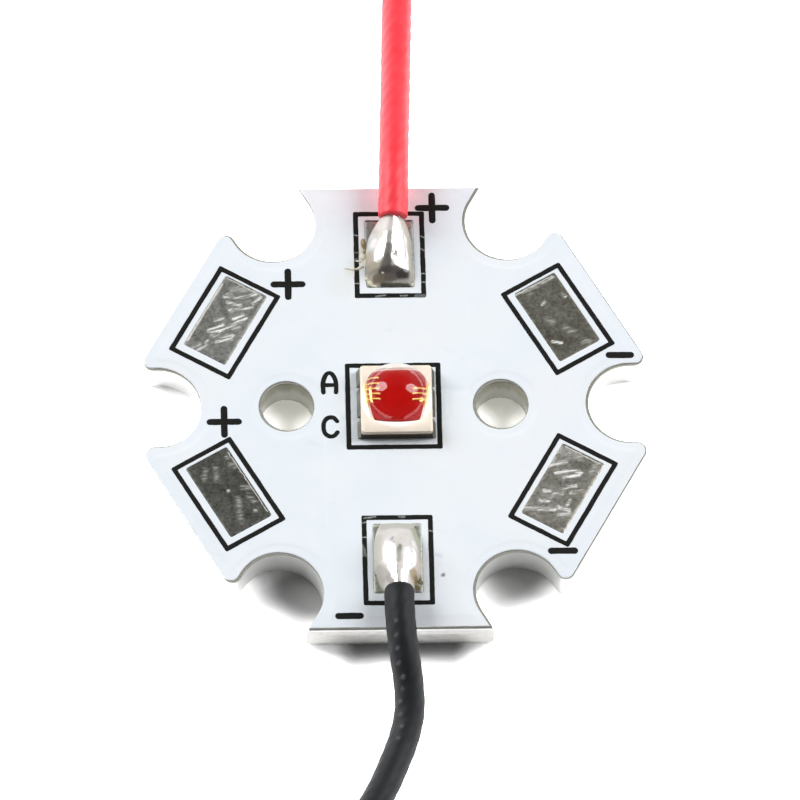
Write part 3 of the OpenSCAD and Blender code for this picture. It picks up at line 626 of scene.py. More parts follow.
MAT = {
    "aluminium": m_aluminium(),
    "dielectric": m_dielectric(),
    "copper": m_copper(),
    "white_mask": m_mask(),
    "black_print": m_ink(),
    # the six pads are one tin, each given its own dark and light tone: painted reflection, darker where a pad mirrors a
    # dark part of the room
    "tin_a": m_tin("tin_rear", (0.56, 0.56, 0.52), (0.80, 0.80, 0.76), EDGES["a"], seed=1),
    "tin_b": m_tin("tin_left_rear", (0.50, 0.50, 0.45), (0.86, 0.86, 0.81), MARKS["b"] + EDGES["b"], 20, seed=2),
    "tin_c": m_tin("tin_left_front", (0.19, 0.19, 0.165), (0.35, 0.35, 0.32), MARKS["c"] + EDGES["c"], 5, seed=3),
    "tin_d": m_tin("tin_front", (0.60, 0.63, 0.53), (0.84, 0.86, 0.76), EDGES["d"], seed=4),
    "tin_e": m_tin("tin_right_rear", (0.30, 0.285, 0.225), (0.48, 0.465, 0.40), MARKS["e"] + EDGES["e"], 20, seed=5),
    "tin_f": m_tin("tin_right_front", (0.56, 0.54, 0.45), (0.86, 0.84, 0.76), MARKS["f"] + EDGES["f"], 8, seed=6),
    # rear joint: the dark crest and dark front are painted reflection and shading, the grey flanks painted reflection,
    # the small pale spots and lines painted highlights, with brownish patches near the front; shine puts mirror zones
    # where the lamp highlights fall
    "solder": m_solder("solder", 0.0, (0.80, 0.79, 0.77), (0.92, 0.91, 0.88), ("b9b4aa", "cbc6be"), painted_light_and_flux=(
        ((-0.46, 7.50), (-0.10, 7.30), 0.15, 0.25, 0.9, "d0cbc7"),
        ((-0.80, 6.95), (-0.85, 6.45), 0.08, 0.20, 0.8, "c8cbc8"),
        ((-0.66, 6.75), (-0.70, 6.60), 0.03, 0.14, 0.8, "ece4e4"),
        ((-0.90, 6.20), (-0.86, 5.75), 0.12, 0.22, 0.9, "ada293"),
        ((-0.80, 5.70), (-0.52, 5.72), 0.12, 0.18, 0.9, "9f9785"),
        ((-0.06, 6.94), (-0.11, 6.60), 0.06, 0.10, 0.95, "a5a39a"),
        ((-0.12, 6.45), (-0.14, 6.15), 0.09, 0.10, 0.95, "6f6c68"),
        ((-0.17, 5.95), (-0.23, 5.68), 0.13, 0.15, 0.95, "5b5853"),
        ((-0.33, 5.46), (0.48, 5.52), 0.13, 0.16, 0.95, "55504c"),
        ((0.30, 5.44), (0.50, 5.46), 0.04, 0.12, 0.9, "3d3a37"),
        ((-0.60, 5.32), (-0.34, 5.28), 0.08, 0.14, 0.9, "8a7b69"),
        ((-0.15, 5.32), (0.10, 5.32), 0.06, 0.12, 0.9, "776c66"),
        ((-0.36, 5.13), (0.62, 5.10), 0.03, 0.06, 0.95, "4c4c40"),
        ((0.06, 5.21), (0.66, 5.25), 0.012, 0.04, 0.85, "bcbbb0"),
        ((-0.38, 5.47), (-0.34, 5.46), 0.012, 0.03, 1.0, "f0ece0"),
        ((0.78, 7.00), (0.84, 5.45), 0.06, 0.12, 0.9, "b4b0a4")),
        shine=(
        ((-0.215, 6.98), (-0.31, 6.74), 0.03, 0.08), ((-0.33, 6.68), (-0.42, 6.42), 0.09, 0.10),
        ((-0.42, 6.42), (-0.48, 6.18), 0.13, 0.10), ((-0.50, 6.10), (-0.53, 5.98), 0.07, 0.10),
        ((0.20, 7.75), (0.225, 7.42), 0.07, 0.08), ((0.225, 7.42), (0.26, 7.12), 0.10, 0.08),
        ((0.26, 7.12), (0.30, 6.84), 0.17, 0.08), ((0.30, 6.84), (0.335, 6.30), 0.235, 0.08),
        ((0.32, 6.25), (0.31, 5.98), 0.27, 0.08), ((0.34, 5.95), (0.42, 5.84), 0.18, 0.09),
        ((0.44, 5.80), (0.54, 5.64), 0.05, 0.09)),
        cut=(((0.04, 6.21), (0.12, 6.19), 0.015, 0.05), ((0.12, 6.19), (0.20, 6.08), 0.03, 0.05))),
    # front joint: the dark crest and grey flanks are painted reflection and shading, the pale spot a painted highlight,
    # olive-grey at the rear right, the brown strokes at the front right flux stains; shine puts mirror zones where the
    # lamp highlights fall
    "solder_satin": m_solder("solder_satin", 0.04, (0.80, 0.785, 0.765), (0.90, 0.885, 0.865), ("ccc6c0", "dcd8d3"), painted_light_and_flux=(
        ((-0.55, -5.25), (0.45, -5.25), 0.12, 0.20, 0.85, "b7b6ac"),
        ((-0.86, -5.85), (-0.90, -6.85), 0.12, 0.20, 0.85, "bdbcb0"),
        ((-0.66, -6.95), (-0.62, -7.00), 0.03, 0.10, 0.8, "dcdad6"),
        ((-0.85, -7.20), (-0.58, -7.50), 0.14, 0.20, 0.85, "aaa49d"),
        ((-0.42, -7.62), (-0.34, -7.85), 0.04, 0.12, 0.8, "a29a92"),
        ((0.00, -6.44), (-0.02, -6.60), 0.04, 0.09, 0.95, "88877d"),
        ((-0.03, -6.66), (-0.04, -7.00), 0.04, 0.08, 0.8, "a8a69c"),
        ((0.66, -5.45), (0.80, -6.10), 0.10, 0.20, 0.85, "a3a78f"),
        ((0.80, -6.30), (0.82, -6.70), 0.04, 0.14, 0.8, "a9a897"),
        ((0.72, -6.90), (0.70, -7.20), 0.06, 0.15, 0.7, "c6b9ae"),
        ((0.50, -7.38), (0.58, -7.62), 0.09, 0.16, 0.9, "a08d6c"),
        ((0.62, -7.55), (0.66, -7.72), 0.05, 0.12, 0.9, "75673f"),
        ((0.78, -7.35), (0.80, -7.60), 0.03, 0.08, 0.9, "6b6653")),
        shine=(
        ((-0.30, -6.00), (-0.34, -6.15), 0.05, 0.10), ((-0.37, -6.22), (-0.40, -6.50), 0.15, 0.10),
        ((-0.40, -6.50), (-0.37, -6.85), 0.20, 0.10), ((-0.33, -6.95), (-0.27, -7.30), 0.12, 0.10),
        ((-0.26, -7.30), (-0.21, -7.62), 0.09, 0.09), ((-0.19, -7.62), (-0.16, -7.86), 0.05, 0.07),
        ((0.56, -6.12), (0.60, -6.26), 0.03, 0.08), ((0.41, -6.62), (0.38, -6.95), 0.19, 0.09),
        ((0.36, -7.00), (0.32, -7.18), 0.13, 0.10), ((0.18, -7.48), (0.14, -7.90), 0.11, 0.08))),
    # LED solder: a dark copy of the solder, painted shading for fillets that stand in shadow beside the package
    "solder_led": m_solder("solder_led", 0.2, (0.20, 0.20, 0.165), (0.36, 0.36, 0.31)),
    "flux_amber": m_flux("flux_amber", (0.22, 0.15, 0.05), (0.45, 0.34, 0.16)),
    "flux_brown": m_flux("flux_brown", (0.12, 0.095, 0.05), (0.27, 0.225, 0.13)),
    "flux_pale": m_flux("flux_pale", (0.60, 0.54, 0.38), (0.82, 0.78, 0.62)),
    "strand": m_strand(),
    "red": m_wire("red_insulation", (0.96, 0.050, 0.072), (0.90, 0.036, 0.052), (1.0, 0.10, 0.12), 0.40, 0.45),
    "black": m_wire("black_insulation", (0.018, 0.020, 0.023), (0.014, 0.016, 0.019), (0.040, 0.044, 0.050), 0.50, 0.26, painted_glints=(
        (-0.225, -9.64, 0.6), (-0.233, -10.17, 0.5), (-0.19, -10.65, 0.8), (-0.14, -11.17, 0.6), (0.018, -11.64, 0.8),
        (-0.02, -12.02, 0.55), (-0.10, -12.42, 0.7), (-0.11, -12.87, 0.5), (-0.05, -13.35, 0.6), (-0.20, -13.81, 0.5))),
    "topmetal": m_topmetal(),
    "ceramic": m_ceramic(),
    # LED terminals are painted dark brown as shading; the front one darker still, painted shadow on the front face
    "terminal": m_terminal("led_terminal", (0.075, 0.065, 0.045), (0.17, 0.155, 0.12)),
    "terminal_dark": m_terminal("led_terminal_dark", (0.022, 0.016, 0.008), (0.055, 0.042, 0.024), 0.3),
    "gold": m_gold(),
    "casting": m_casting(),
    "die": m_die(),
    "clear": m_clear(),
}


# ------------------------------------------------------------------ piece helpers
def piece(name, verts, faces, mat, nodes=(), sharp=None, scale=MM, merge=True):
    me = bpy.data.meshes.new(name)
    me.from_pydata([(x * scale, y * scale, z * scale) for x, y, z in verts], [], faces)
    bm = bmesh.new()
    bm.from_mesh(me)
    if merge:
        bmesh.ops.remove_doubles(bm, verts=bm.verts, dist=1e-8)
    bmesh.ops.recalc_face_normals(bm, faces=bm.faces)
    bm.to_mesh(me)
    bm.free()
    me.polygons.foreach_set("use_smooth", [True] * len(me.polygons))
    if sharp is not None:
        me.set_sharp_from_angle(angle=math.radians(sharp))
    o = bpy.data.objects.new(name, me)
    scene.collection.objects.link(o)
    me.materials.append(MAT[mat] if isinstance(mat, str) else mat)
    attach(o, "root")
    if nodes:
        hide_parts(*nodes)
    return o


def paint(node, mat):
    o = bpy.data.objects[node]
    o.data.materials.clear()
    o.data.materials.append(MAT[mat])


# ------------------------------------------------------------------ plane outlines
def arc(cx, cy, r, a0, a1, step=0.12, n=None):
    n = n or max(2, int(abs(math.radians(a1 - a0)) * r / step + 0.999))
    return [(cx + r * math.cos(math.radians(a0 + (a1 - a0) * k / n)),
             cy + r * math.sin(math.radians(a0 + (a1 - a0) * k / n))) for k in range(n + 1)]


def seg(p, q, step=0.15, n=None):
    """Points between p and q, the ends left out."""
    n = n or max(1, int(math.dist(p, q) / step + 0.5))
    return [(p[0] + (q[0] - p[0]) * k / n, p[1] + (q[1] - p[1]) * k / n) for k in range(1, n)]


def turn(p, deg):
    c, s = math.cos(math.radians(deg)), math.sin(math.radians(deg))
    return (p[0] * c - p[1] * s, p[0] * s + p[1] * c)


def star_loop(a_right, a_left, b, r, rho, dx=0.0, step=0.15, fixed=False):
    """Board outline, counter-clockwise: two straight faces at b, four side faces, six slots."""
    groups = []
    for k in range(6):
        for s in (-1, 1):
            ang = (60 * k + 30 * s) % 360
            if ang % 180 == 90:
                tip = [((b - r / 2) / C30, s * r)]
            else:
                A = a_right if ang in (30, 330) else a_left
                cu, cv = (A - rho - (r + rho) / 2) / C30, s * (r + rho)
                tip = arc(cu, cv, rho, -30, 90, n=8) if s < 0 else arc(cu, cv, rho, -90, 30, n=8)
            groups.append([turn(p, 60 * k) for p in tip])
            if s < 0:
                groups.append([turn(p, 60 * k) for p in arc(9.1, 0, r, -90, -270, n=44)])
    loop = []
    for i, g in enumerate(groups):
        nxt = groups[(i + 1) % len(groups)][0]
        loop += g + seg(g[-1], nxt, step, (48 if i % 3 == 2 else 4) if fixed else None)
    return [(x + dx, y) for x, y in loop]


def circle(cx, cy, r, n=64, cw=False):
    return [(cx + r * math.cos(2 * math.pi * k / n), cy + (-1 if cw else 1) * r * math.sin(2 * math.pi * k / n))
            for k in range(n)]


def rrect(cx, cy, w, h, r=0.05, ang=0.0, step=0.15, cw=False, n=4):
    """Rounded rectangle, w along ang."""
    x, y = w / 2 - r, h / 2 - r
    corners = [arc(x, y, r, 0, 90, n=n), arc(-x, y, r, 90, 180, n=n),
               arc(-x, -y, r, 180, 270, n=n), arc(x, -y, r, 270, 360, n=n)]
    loop = []
    for i, c in enumerate(corners):
        loop += c + seg(c[-1], corners[(i + 1) % 4][0], step)
    loop = [(cx + px, cy + py) for px, py in (turn(p, ang) for p in loop)]
    return loop[::-1] if cw else loop


def mitres(loop):
    """Inward normals (to the left of travel), mitred."""
    L = np.asarray(loop)
    d = np.roll(L, -1, 0) - L
    d /= np.linalg.norm(d, axis=1)[:, None]
    n1 = np.stack([-d[:, 1], d[:, 0]], 1)
    n0 = np.roll(n1, 1, 0)
    return (n0 + n1) / (1 + (n0 * n1).sum(1))[:, None]


def inset(loop, d):
    return [tuple(p) for p in np.asarray(loop) + mitres(loop) * d]


def inside(P, loops):
    P = np.asarray(P, float)
    out = np.zeros(len(P), bool)
    for lp in loops:
        A = np.asarray(lp, float)
        B = np.roll(A, -1, 0)
        dy = B[:, 1] - A[:, 1]
        dy[dy == 0] = 1e-30
        k = (B[:, 0] - A[:, 0]) / dy
        for i in range(0, len(P), 2000):
            x, y = P[i:i + 2000, 0:1], P[i:i + 2000, 1:2]
            hit = ((A[None, :, 1] > y) != (B[None, :, 1] > y)) & (x < A[None, :, 0] + k[None, :] * (y - A[None, :, 1]))
            out[i:i + 2000] ^= (hit.sum(1) % 2).astype(bool)
    return out


def dist_to(P, loops):
    """Distance from each point to the nearest edge of the loops."""
    P = np.asarray(P, float)
    best = np.full(len(P), 1e9)
    for lp in loops:
        A = np.asarray(lp, float)
        D = np.roll(A, -1, 0) - A
        dd = (D ** 2).sum(1)
        dd[dd == 0] = 1e-30
        for i in range(0, len(P), 1000):
            Q = P[i:i + 1000, None, :] - A[None]
            t = np.clip((Q * D[None]).sum(2) / dd[None], 0, 1)
            best[i:i + 1000] = np.minimum(best[i:i + 1000],
                                          np.sqrt(((Q - t[..., None] * D[None]) ** 2).sum(2)).min(1))
    return best


def fill(loops, pts=()):
    """Triangles inside the loops through the extra points; indices run over the loops' points, then pts."""
    coords, edges = [], []
    for lp in loops:
        i0 = len(coords)
        coords += [Vector((p[0], p[1])) for p in lp]
        edges += [(i0 + i, i0 + (i + 1) % len(lp)) for i in range(len(lp))]
    coords += [Vector((p[0], p[1])) for p in pts]
    vs, _, fs, ov, _, _ = delaunay_2d_cdt(coords, edges, [], 0, 1e-7)
    first = [o[0] if o else -1 for o in ov]
    cen = [((vs[a].x + vs[b].x + vs[c].x) / 3, (vs[a].y + vs[b].y + vs[c].y) / 3) for a, b, c in fs]
    keep = inside(cen, [[(p[0], p[1]) for p in lp] for lp in loops])
    return [tuple(first[i] for i in f) for f, k in zip(fs, keep) if k and min(first[i] for i in f) >= 0]


def shell(levels, top=None, low=None, pts=()):
    """Closed solid: each level is a list of loops of 3-D points; the first is filled below, the last above."""
    verts, faces, ids = [], [], []
    for lv in levels:
        row = []
        for lp in lv:
            row.append((len(verts), len(lp)))
            verts += [tuple(p) for p in lp]
        ids.append(row)
    for A, B in zip(ids, ids[1:]):
        for (a, n), (b, _) in zip(A, B):
            faces += [(a + i, a + (i + 1) % n, b + (i + 1) % n, b + i) for i in range(n)]
    P = np.asarray(pts, float).reshape(-1, 2)
    for level, row, f, flip in ((levels[-1], ids[-1], top, False), (levels[0], ids[0], low, True)):
        use = P if f is not None else P[:0]
        tris = fill(level, use)
        index = [a + i for a, n in row for i in range(n)]
        if len(use):
            z = f(use)
            index += list(range(len(verts), len(verts) + len(use)))
            verts += [(x, y, float(h)) for (x, y), h in zip(use, z)]
        for t in tris:
            t = tuple(index[i] for i in t)
            faces.append(t[::-1] if flip else t)
    return verts, faces


def lift(loops, d, z):
    """The loops moved in by d, at height z (a number or a function of the points)."""
    out = []
    for lp in loops:
        L = np.asarray(lp) + (mitres(lp) * d if d else 0)
        h = z(L) if callable(z) else np.full(len(L), float(z))
        out.append([(x, y, float(k)) for (x, y), k in zip(L, h)])
    return out


def nz(P, s, seed=0.0):
    return np.array([mnoise.noise(Vector((x * s + seed, y * s - seed, seed * 0.37))) for x, y in P])


def smooth(t):
    t = np.clip(t, 0, 1)
    return t * t * (3 - 2 * t)


def curve(xs, ys, sigma=0.08):
    """Smoothed line through the given values."""
    g = np.arange(min(xs) - 0.6, max(xs) + 0.6, 0.01)
    v = np.interp(g, xs, ys)
    k = np.exp(-0.5 * (np.arange(-45, 46) * 0.01 / sigma) ** 2)
    v = np.convolve(np.pad(v, 45, mode="edge"), k / k.sum(), "valid")
    return lambda q: np.interp(q, g, v)


def grid(x0, x1, y0, y1, step, jitter=0.0):
    """Staggered grid of points."""
    out = []
    rows = int((y1 - y0) / (step * 0.87)) + 1
    for j in range(rows + 1):
        y = y0 + (y1 - y0) * j / rows
        n = int((x1 - x0) / step) + 1
        for i in range(n + 1):
            x = x0 + (x1 - x0) * (i + 0.5 * (j % 2)) / n
            out.append((x + jitter * math.sin(i * 12.9 + j * 78.2), y + jitter * math.sin(i * 39.3 + j * 11.1)))
    return out


def thin_out(pts, gap):
    """Drops points closer than gap to one already kept."""
    cell, out = {}, []
    for x, y in pts:
        i, j = int(math.floor(x / gap)), int(math.floor(y / gap))
        if any((x - a) ** 2 + (y - b) ** 2 < gap * gap
               for u in (i - 1, i, i + 1) for v in (j - 1, j, j + 1) for a, b in cell.get((u, v), ())):
            continue
        cell.setdefault((i, j), []).append((x, y))
        out.append((x, y))
    return out


# ------------------------------------------------------------------ the board
A_OF, B_OF, SLOT_R = 9.39, 9.35, 1.65
HOLE_X, HOLE_R = 4.125, 1.0
LED_X = 0.04
SIDE = {"plus_left_rear": (-6.459, 3.70, 150), "plus_left_front": (-6.459, -3.62, 210),
        "minus_right_rear": (6.359, 3.70, 30), "minus_right_front": (6.359, -3.62, 330)}


def base_plate():
    def loops(b, d=0.0):
        out = [star_loop(A_OF, A_OF, b, SLOT_R, 0.35, fixed=True),
               circle(HOLE_X, 0, HOLE_R, 72, True), circle(-HOLE_X, 0, HOLE_R, 72, True)]
        return [inset(lp, d) for lp in out] if d else out

    def torn(lps, z):
        """The snapped web is uneven."""
        out = []
        for lp in lps:
            row = []
            for x, y in lp:
                if abs(y) > 9.40:
                    w = mnoise.noise(Vector((x * 3.1, z * 6.0, 2.0 if y > 0 else 7.0)))
                    w += 0.6 * mnoise.noise(Vector((x * 9.0, z * 14.0, 4.0)))
                    y -= math.copysign(0.008 + 0.022 * max(0.0, w + 0.5), y)
                row.append((x, y, z))
            out.append(row)
        return out

    def level(b, z, d=0.0):
        return [[(x, y, z) for x, y in lp] for lp in loops(b, d)]

    levels = [level(B_OF, 0.0, 0.03), level(B_OF + 0.01, 0.03)]
    levels += [level(B_OF + 0.01 + 0.12 * k, 0.03 + 0.40 * k) for k in (0.5, 1.0)]
    for z in (0.47, 0.56, 0.66, 0.76, 0.86, 0.96, 1.06, 1.13):
        levels.append(torn(loops(B_OF + 0.15), z))
    levels += [level(B_OF + 0.13, 1.17), level(B_OF + 0.095, 1.29), level(B_OF + 0.057, 1.425), level(B_OF + 0.052, 1.43, 0.004)]
    v, f = shell(levels)
    piece("aluminium_plate", v, f, "aluminium", ("aluminium_base",), sharp=32)


ANODE = ((-12, -3.0, -12, 0.75), (-12, 2.6, 0.75, 12))
CATHODE = ((2.9, 12, 0.45, 12), (2.2, 12, -0.75, 0.45), (-2.7, 12, -12, -0.75))
THERMAL = ((-2.0, 2.0, -0.53, 0.58),)
EDGE = star_loop(A_OF, A_OF, B_OF, SLOT_R, 0.35)


def copper_depth(P):
    """How far a point is outside the copper, negative over it."""
    P = np.asarray(P, float)
    x, y = P[:, 0], P[:, 1]
    best = np.full(len(P), 1e9)
    for grp in (ANODE, CATHODE, THERMAL):
        for x0, x1, y0, y1 in grp:
            ox = np.maximum(x0 - x, x - x1)
            oy = np.maximum(y0 - y, y - y1)
            best = np.minimum(best, np.where((ox > 0) & (oy > 0), np.hypot(ox, oy), np.maximum(ox, oy)))
    edge = 0.4 - dist_to(P, [EDGE])
    for s in (-1, 1):
        edge = np.maximum(edge, 1.4 - np.hypot(x - s * HOLE_X, y))
    return np.maximum(best, edge)


def mask_rise(P):
    return 1 - smooth((copper_depth(P) + 0.04) / 0.10)


def mask_top(P):
    s = mask_rise(P)
    return np.minimum(1.5865 + 0.0135 * s + 0.0035 * (nz(P, 1.3, 3.0) - 0.35) + 0.0015 * nz(P, 4.0, 8.0), 1.6)


def mask_low(P):
    return 1.531 + 0.04 * mask_rise(P)


def pad_rects():
    out = [(-0.05, 6.5, 1.88, 2.92, 0.0), (-0.05, -6.5, 1.88, 2.92, 0.0)]
    for x, y, a in SIDE.values():
        out.append((x, y, 1.84, 3.38, a))
    return out


def base_mask():
    loops = [star_loop(9.385, 9.342, 9.346, 1.71, 0.30, dx=-0.05, step=50),
             circle(HOLE_X - 0.05, 0, 1.075, 72, True), circle(-HOLE_X - 0.05, 0, 1.075, 72, True)]
    for x, y, w, h, a in pad_rects():
        loops.append(rrect(x, y, w, h, 0.09, a, step=50, cw=True))
    for y0, y1 in ((0.75, 1.43), (-0.53, 0.58), (-1.43, -0.75)):
        loops.append(rrect(LED_X, (y0 + y1) / 2, 2.99, y1 - y0 - 0.02, 0.05, step=50, cw=True))
    cand = []
    for d in (0.34, 0.38, 0.42, 0.47):
        cand += star_loop(A_OF - d, A_OF - d, B_OF - d, SLOT_R + d, 0.3, step=0.15)
    for r in (1.34, 1.38, 1.42, 1.47):
        for s in (-1, 1):
            cand += circle(s * HOLE_X, 0, r, 56)
    lines = [((-3.0, 0.75), (-3.0, -9.4)), ((-3.0, 0.75), (2.6, 0.75)), ((2.6, 0.75), (2.6, 9.4)),
             ((2.9, 9.4), (2.9, 0.45)), ((2.9, 0.45), (2.2, 0.45)), ((2.2, 0.45), (2.2, -0.75)),
             ((2.2, -0.75), (-2.7, -0.75)), ((-2.7, -0.75), (-2.7, -9.4)),
             ((-2.0, -0.53), (2.0, -0.53)), ((2.0, -0.53), (2.0, 0.58)), ((2.0, 0.58), (-2.0, 0.58)),
             ((-2.0, 0.58), (-2.0, -0.53))]
    for (ax, ay), (bx, by) in lines:
        n = int(math.dist((ax, ay), (bx, by)) / 0.15)
        ux, uy = (bx - ax) / math.dist((ax, ay), (bx, by)), (by - ay) / math.dist((ax, ay), (bx, by))
        for off in (-0.06, -0.02, 0.02, 0.06):
            cand += [(ax + (bx - ax) * k / n - uy * off, ay + (by - ay) * k / n + ux * off) for k in range(n + 1)]
    cand += grid(-9.6, 9.6, -9.6, 9.6, 0.38, 0.03)
    cand = thin_out(cand, 0.035)
    C = np.array(cand)
    inner = [inset(lp, 0.055) for lp in loops]
    C = C[inside(C, inner)]
    C = C[dist_to(C, inner) > 0.03]
    levels = [lift(loops, 0.02, mask_low), lift(loops, 0.0, mask_low),
              lift(loops, 0.0, lambda L: mask_top(L) - 0.018),
              lift(loops, 0.006, lambda L: mask_top(L) - 0.005), lift(loops, 0.02, mask_top),
              lift(loops, 0.055, mask_top)]
    levels = [lift(loops, 0.055, mask_low)] + levels
    v, f = shell(levels, mask_top, mask_low, C)
    piece("solder_mask_film", v, f, "white_mask", ("solder_mask",), sharp=50, merge=False)
    print("mask", len(v), len(f))


def legend():
    V, F = [], []

    def add(loops, up=0.0):
        rough = []
        for i, lp in enumerate(loops):
            L = np.asarray(lp)
            w = nz(L, 2.4, 11.0 + i) * 0.010 + nz(L, 7.0, 5.0 + i) * 0.006
            rough.append([tuple(p) for p in L + mitres(lp) * w[:, None]])

        def z(h):
            return lambda L: mask_top(L) + h

        lv = [lift(rough, 0.012, z(-0.004)), lift(rough, 0.0, z(-0.002)), lift(rough, 0.0, z(0.006 + up)),
              lift(rough, 0.008, z(0.011 + up)), lift(rough, 0.02, z(0.013 + up))]
        v, f = shell(lv)
        k = len(V)
        V.extend(v)
        F.extend(tuple(i + k for i in t) for t in f)

    def frame_ring(cx, cy, w, h, ang=0.0):
        add([rrect(cx, cy, w, h, 0.07, ang, 0.12), rrect(cx, cy, w - 0.38, h - 0.38, 0.03, ang, 0.12, cw=True)])

    def stadium(cx, cy, length, half, ang):
        x = length / 2 - half
        lp = arc(x, 0, half, -90, 90, n=8)
        lp += seg(lp[-1], (-x, half), 0.1) + arc(-x, 0, half, 90, 270, n=8)
        lp += seg(lp[-1], lp[0], 0.1)
        return [(cx + px, cy + py) for px, py in (turn(p, ang) for p in lp)]

    def plus(cx, cy, size, t=0.13, up=0.0):
        L = size / 2
        lp = []
        for k in range(4):
            arm = seg((t, t), (L - t, t), 0.1)[::-1]
            tip = arc(L - t, 0, t, -90, 90, n=8)
            side = [turn(p, 90 * k) for p in seg((t, -t), (L - t, -t), 0.1)]
            lp += side + [turn(p, 90 * k) for p in tip] + [turn(p, 90 * k) for p in arm] + [turn((t, t), 90 * k)]
        add([[(cx + x, cy + y) for x, y in lp]], up)

    def strip(pts, half, close=False):
        """Stroke of a letter along a smooth line."""
        fine = []
        P = [np.array(p) for p in pts]
        P = [2 * P[0] - P[1]] + P + [2 * P[-1] - P[-2]]
        for i in range(1, len(P) - 2):
            a, b, c, d = P[i - 1:i + 3]
            for k in range(5):
                t = k / 5
                fine.append(0.5 * (2 * b + (c - a) * t + (2 * a - 5 * b + 4 * c - d) * t ** 2
                                   + (3 * b - a - 3 * c + d) * t ** 3))
        fine.append(P[-2])
        fine = np.array(fine)
        T = np.gradient(fine, axis=0)
        T /= np.linalg.norm(T, axis=1)[:, None]
        N = np.stack([-T[:, 1], T[:, 0]], 1)
        lft, rgt = fine + N * half, fine - N * half
        a0 = math.degrees(math.atan2(N[-1][1], N[-1][0]))
        end = arc(fine[-1][0], fine[-1][1], half, a0 - 180, a0, n=6)[1:-1]
        a1 = math.degrees(math.atan2(-N[0][1], -N[0][0]))
        start = arc(fine[0][0], fine[0][1], half, a1 - 180, a1, n=6)[1:-1]
        return [tuple(p) for p in rgt] + end + [tuple(p) for p in lft[::-1]] + start

    frame_ring(-0.056, 6.46, 2.76, 3.72)
    frame_ring(-0.036, -6.57, 2.73, 3.78)
    for cx, cy, w, h, a in ((6.378, 3.62, 2.68, 4.10, 30.3), (-6.49, 3.60, 2.69, 4.12, 150.2),
                            (-6.479, -3.702, 2.67, 4.11, 210.3), (6.358, -3.684, 2.65, 4.10, 330.1)):
        frame_ring(cx, cy, w, h, a)
    frame_ring(-0.055, -0.045, 3.69, 3.67)
    plus(1.645, 8.467, 1.34, up=0.001)
    plus(-4.01, 5.22, 1.36)
    plus(-6.58, -0.64, 1.36)
    add([stadium(-1.95, -8.89, 1.10, 0.13, 0)])
    add([stadium(8.73, 2.04, 1.10, 0.13, 0)])
    add([stadium(6.28, -6.25, 1.15, 0.13, 0)], 0.001)
    cx, cy = -2.5, 1.01
    leg = [(-0.24, -0.44), (-0.255, -0.1), (-0.2, 0.17), (-0.08, 0.36), (0.08, 0.36), (0.2, 0.17), (0.255, -0.1), (0.24, -0.44)]
    add([strip([(cx + x, cy + y) for x, y in leg], 0.088)])
    add([strip([(cx - 0.22, cy - 0.13), (cx, cy - 0.135), (cx + 0.22, cy - 0.13)], 0.08)], 0.001)
    cx, cy = -2.5, -0.9
    bow = [(0.26, 0.24), (0.13, 0.39), (-0.06, 0.40), (-0.22, 0.26), (-0.27, 0.0), (-0.22, -0.26), (-0.06, -0.40),
           (0.13, -0.39), (0.26, -0.24)]
    add([strip([(cx + x, cy + y) for x, y in bow], 0.088)])
    piece("legend_ink", V, F, "black_print", ("legend_print",), sharp=50, merge=False)


def tin_pad(name, cx, cy, w, h, ang, mat, seed):
    lp = rrect(cx, cy, w - 0.006, h - 0.006, 0.086, ang, 0.09, n=6)

    def top(P):
        d = dist_to(P, [lp])
        t = 1 - np.minimum(1, d / 0.16)
        return 1.578 + 0.0185 * (1 - t * t) + 0.0022 * nz(P, 2.2, seed) + 0.0010 * nz(P, 7.0, seed + 3)

    P = []
    for d in (0.02, 0.045, 0.075, 0.11, 0.15):
        P += rrect(cx, cy, w - 0.006 - 2 * d, h - 0.006 - 2 * d, 0.07, ang, 0.09, n=3)
    g = [turn(p, ang) for p in grid(-w / 2 + 0.19, w / 2 - 0.19, -h / 2 + 0.19, h / 2 - 0.19, 0.07)]
    P += [(cx + x, cy + y) for x, y in g]
    P = np.array(thin_out(P, 0.018))
    P = P[inside(P, [lp])]
    P = P[dist_to(P, [lp]) > 0.012]
    v, f = shell([lift([lp], 0.0, 1.5705), lift([lp], 0.0, top)], top, None, P)
    piece(name + "_tin", v, f, mat, (name,), sharp=60, merge=False)


base_plate()
base_mask()
legend()
tin_pad("pad_plus_rear", -0.05, 6.5, 1.88, 2.92, 0, "tin_a", 1.0)
tin_pad("pad_minus_front", -0.05, -6.5, 1.88, 2.92, 0, "tin_d", 2.0)
for key, mat, seed in (("plus_left_rear", "tin_b", 3.0), ("plus_left_front", "tin_c", 4.0),
                       ("minus_right_rear", "tin_e", 5.0), ("minus_right_front", "tin_f", 6.0)):
    x, y, a = SIDE[key]
    tin_pad("pad_" + key, x, y, 1.84, 3.38, a, mat, seed)


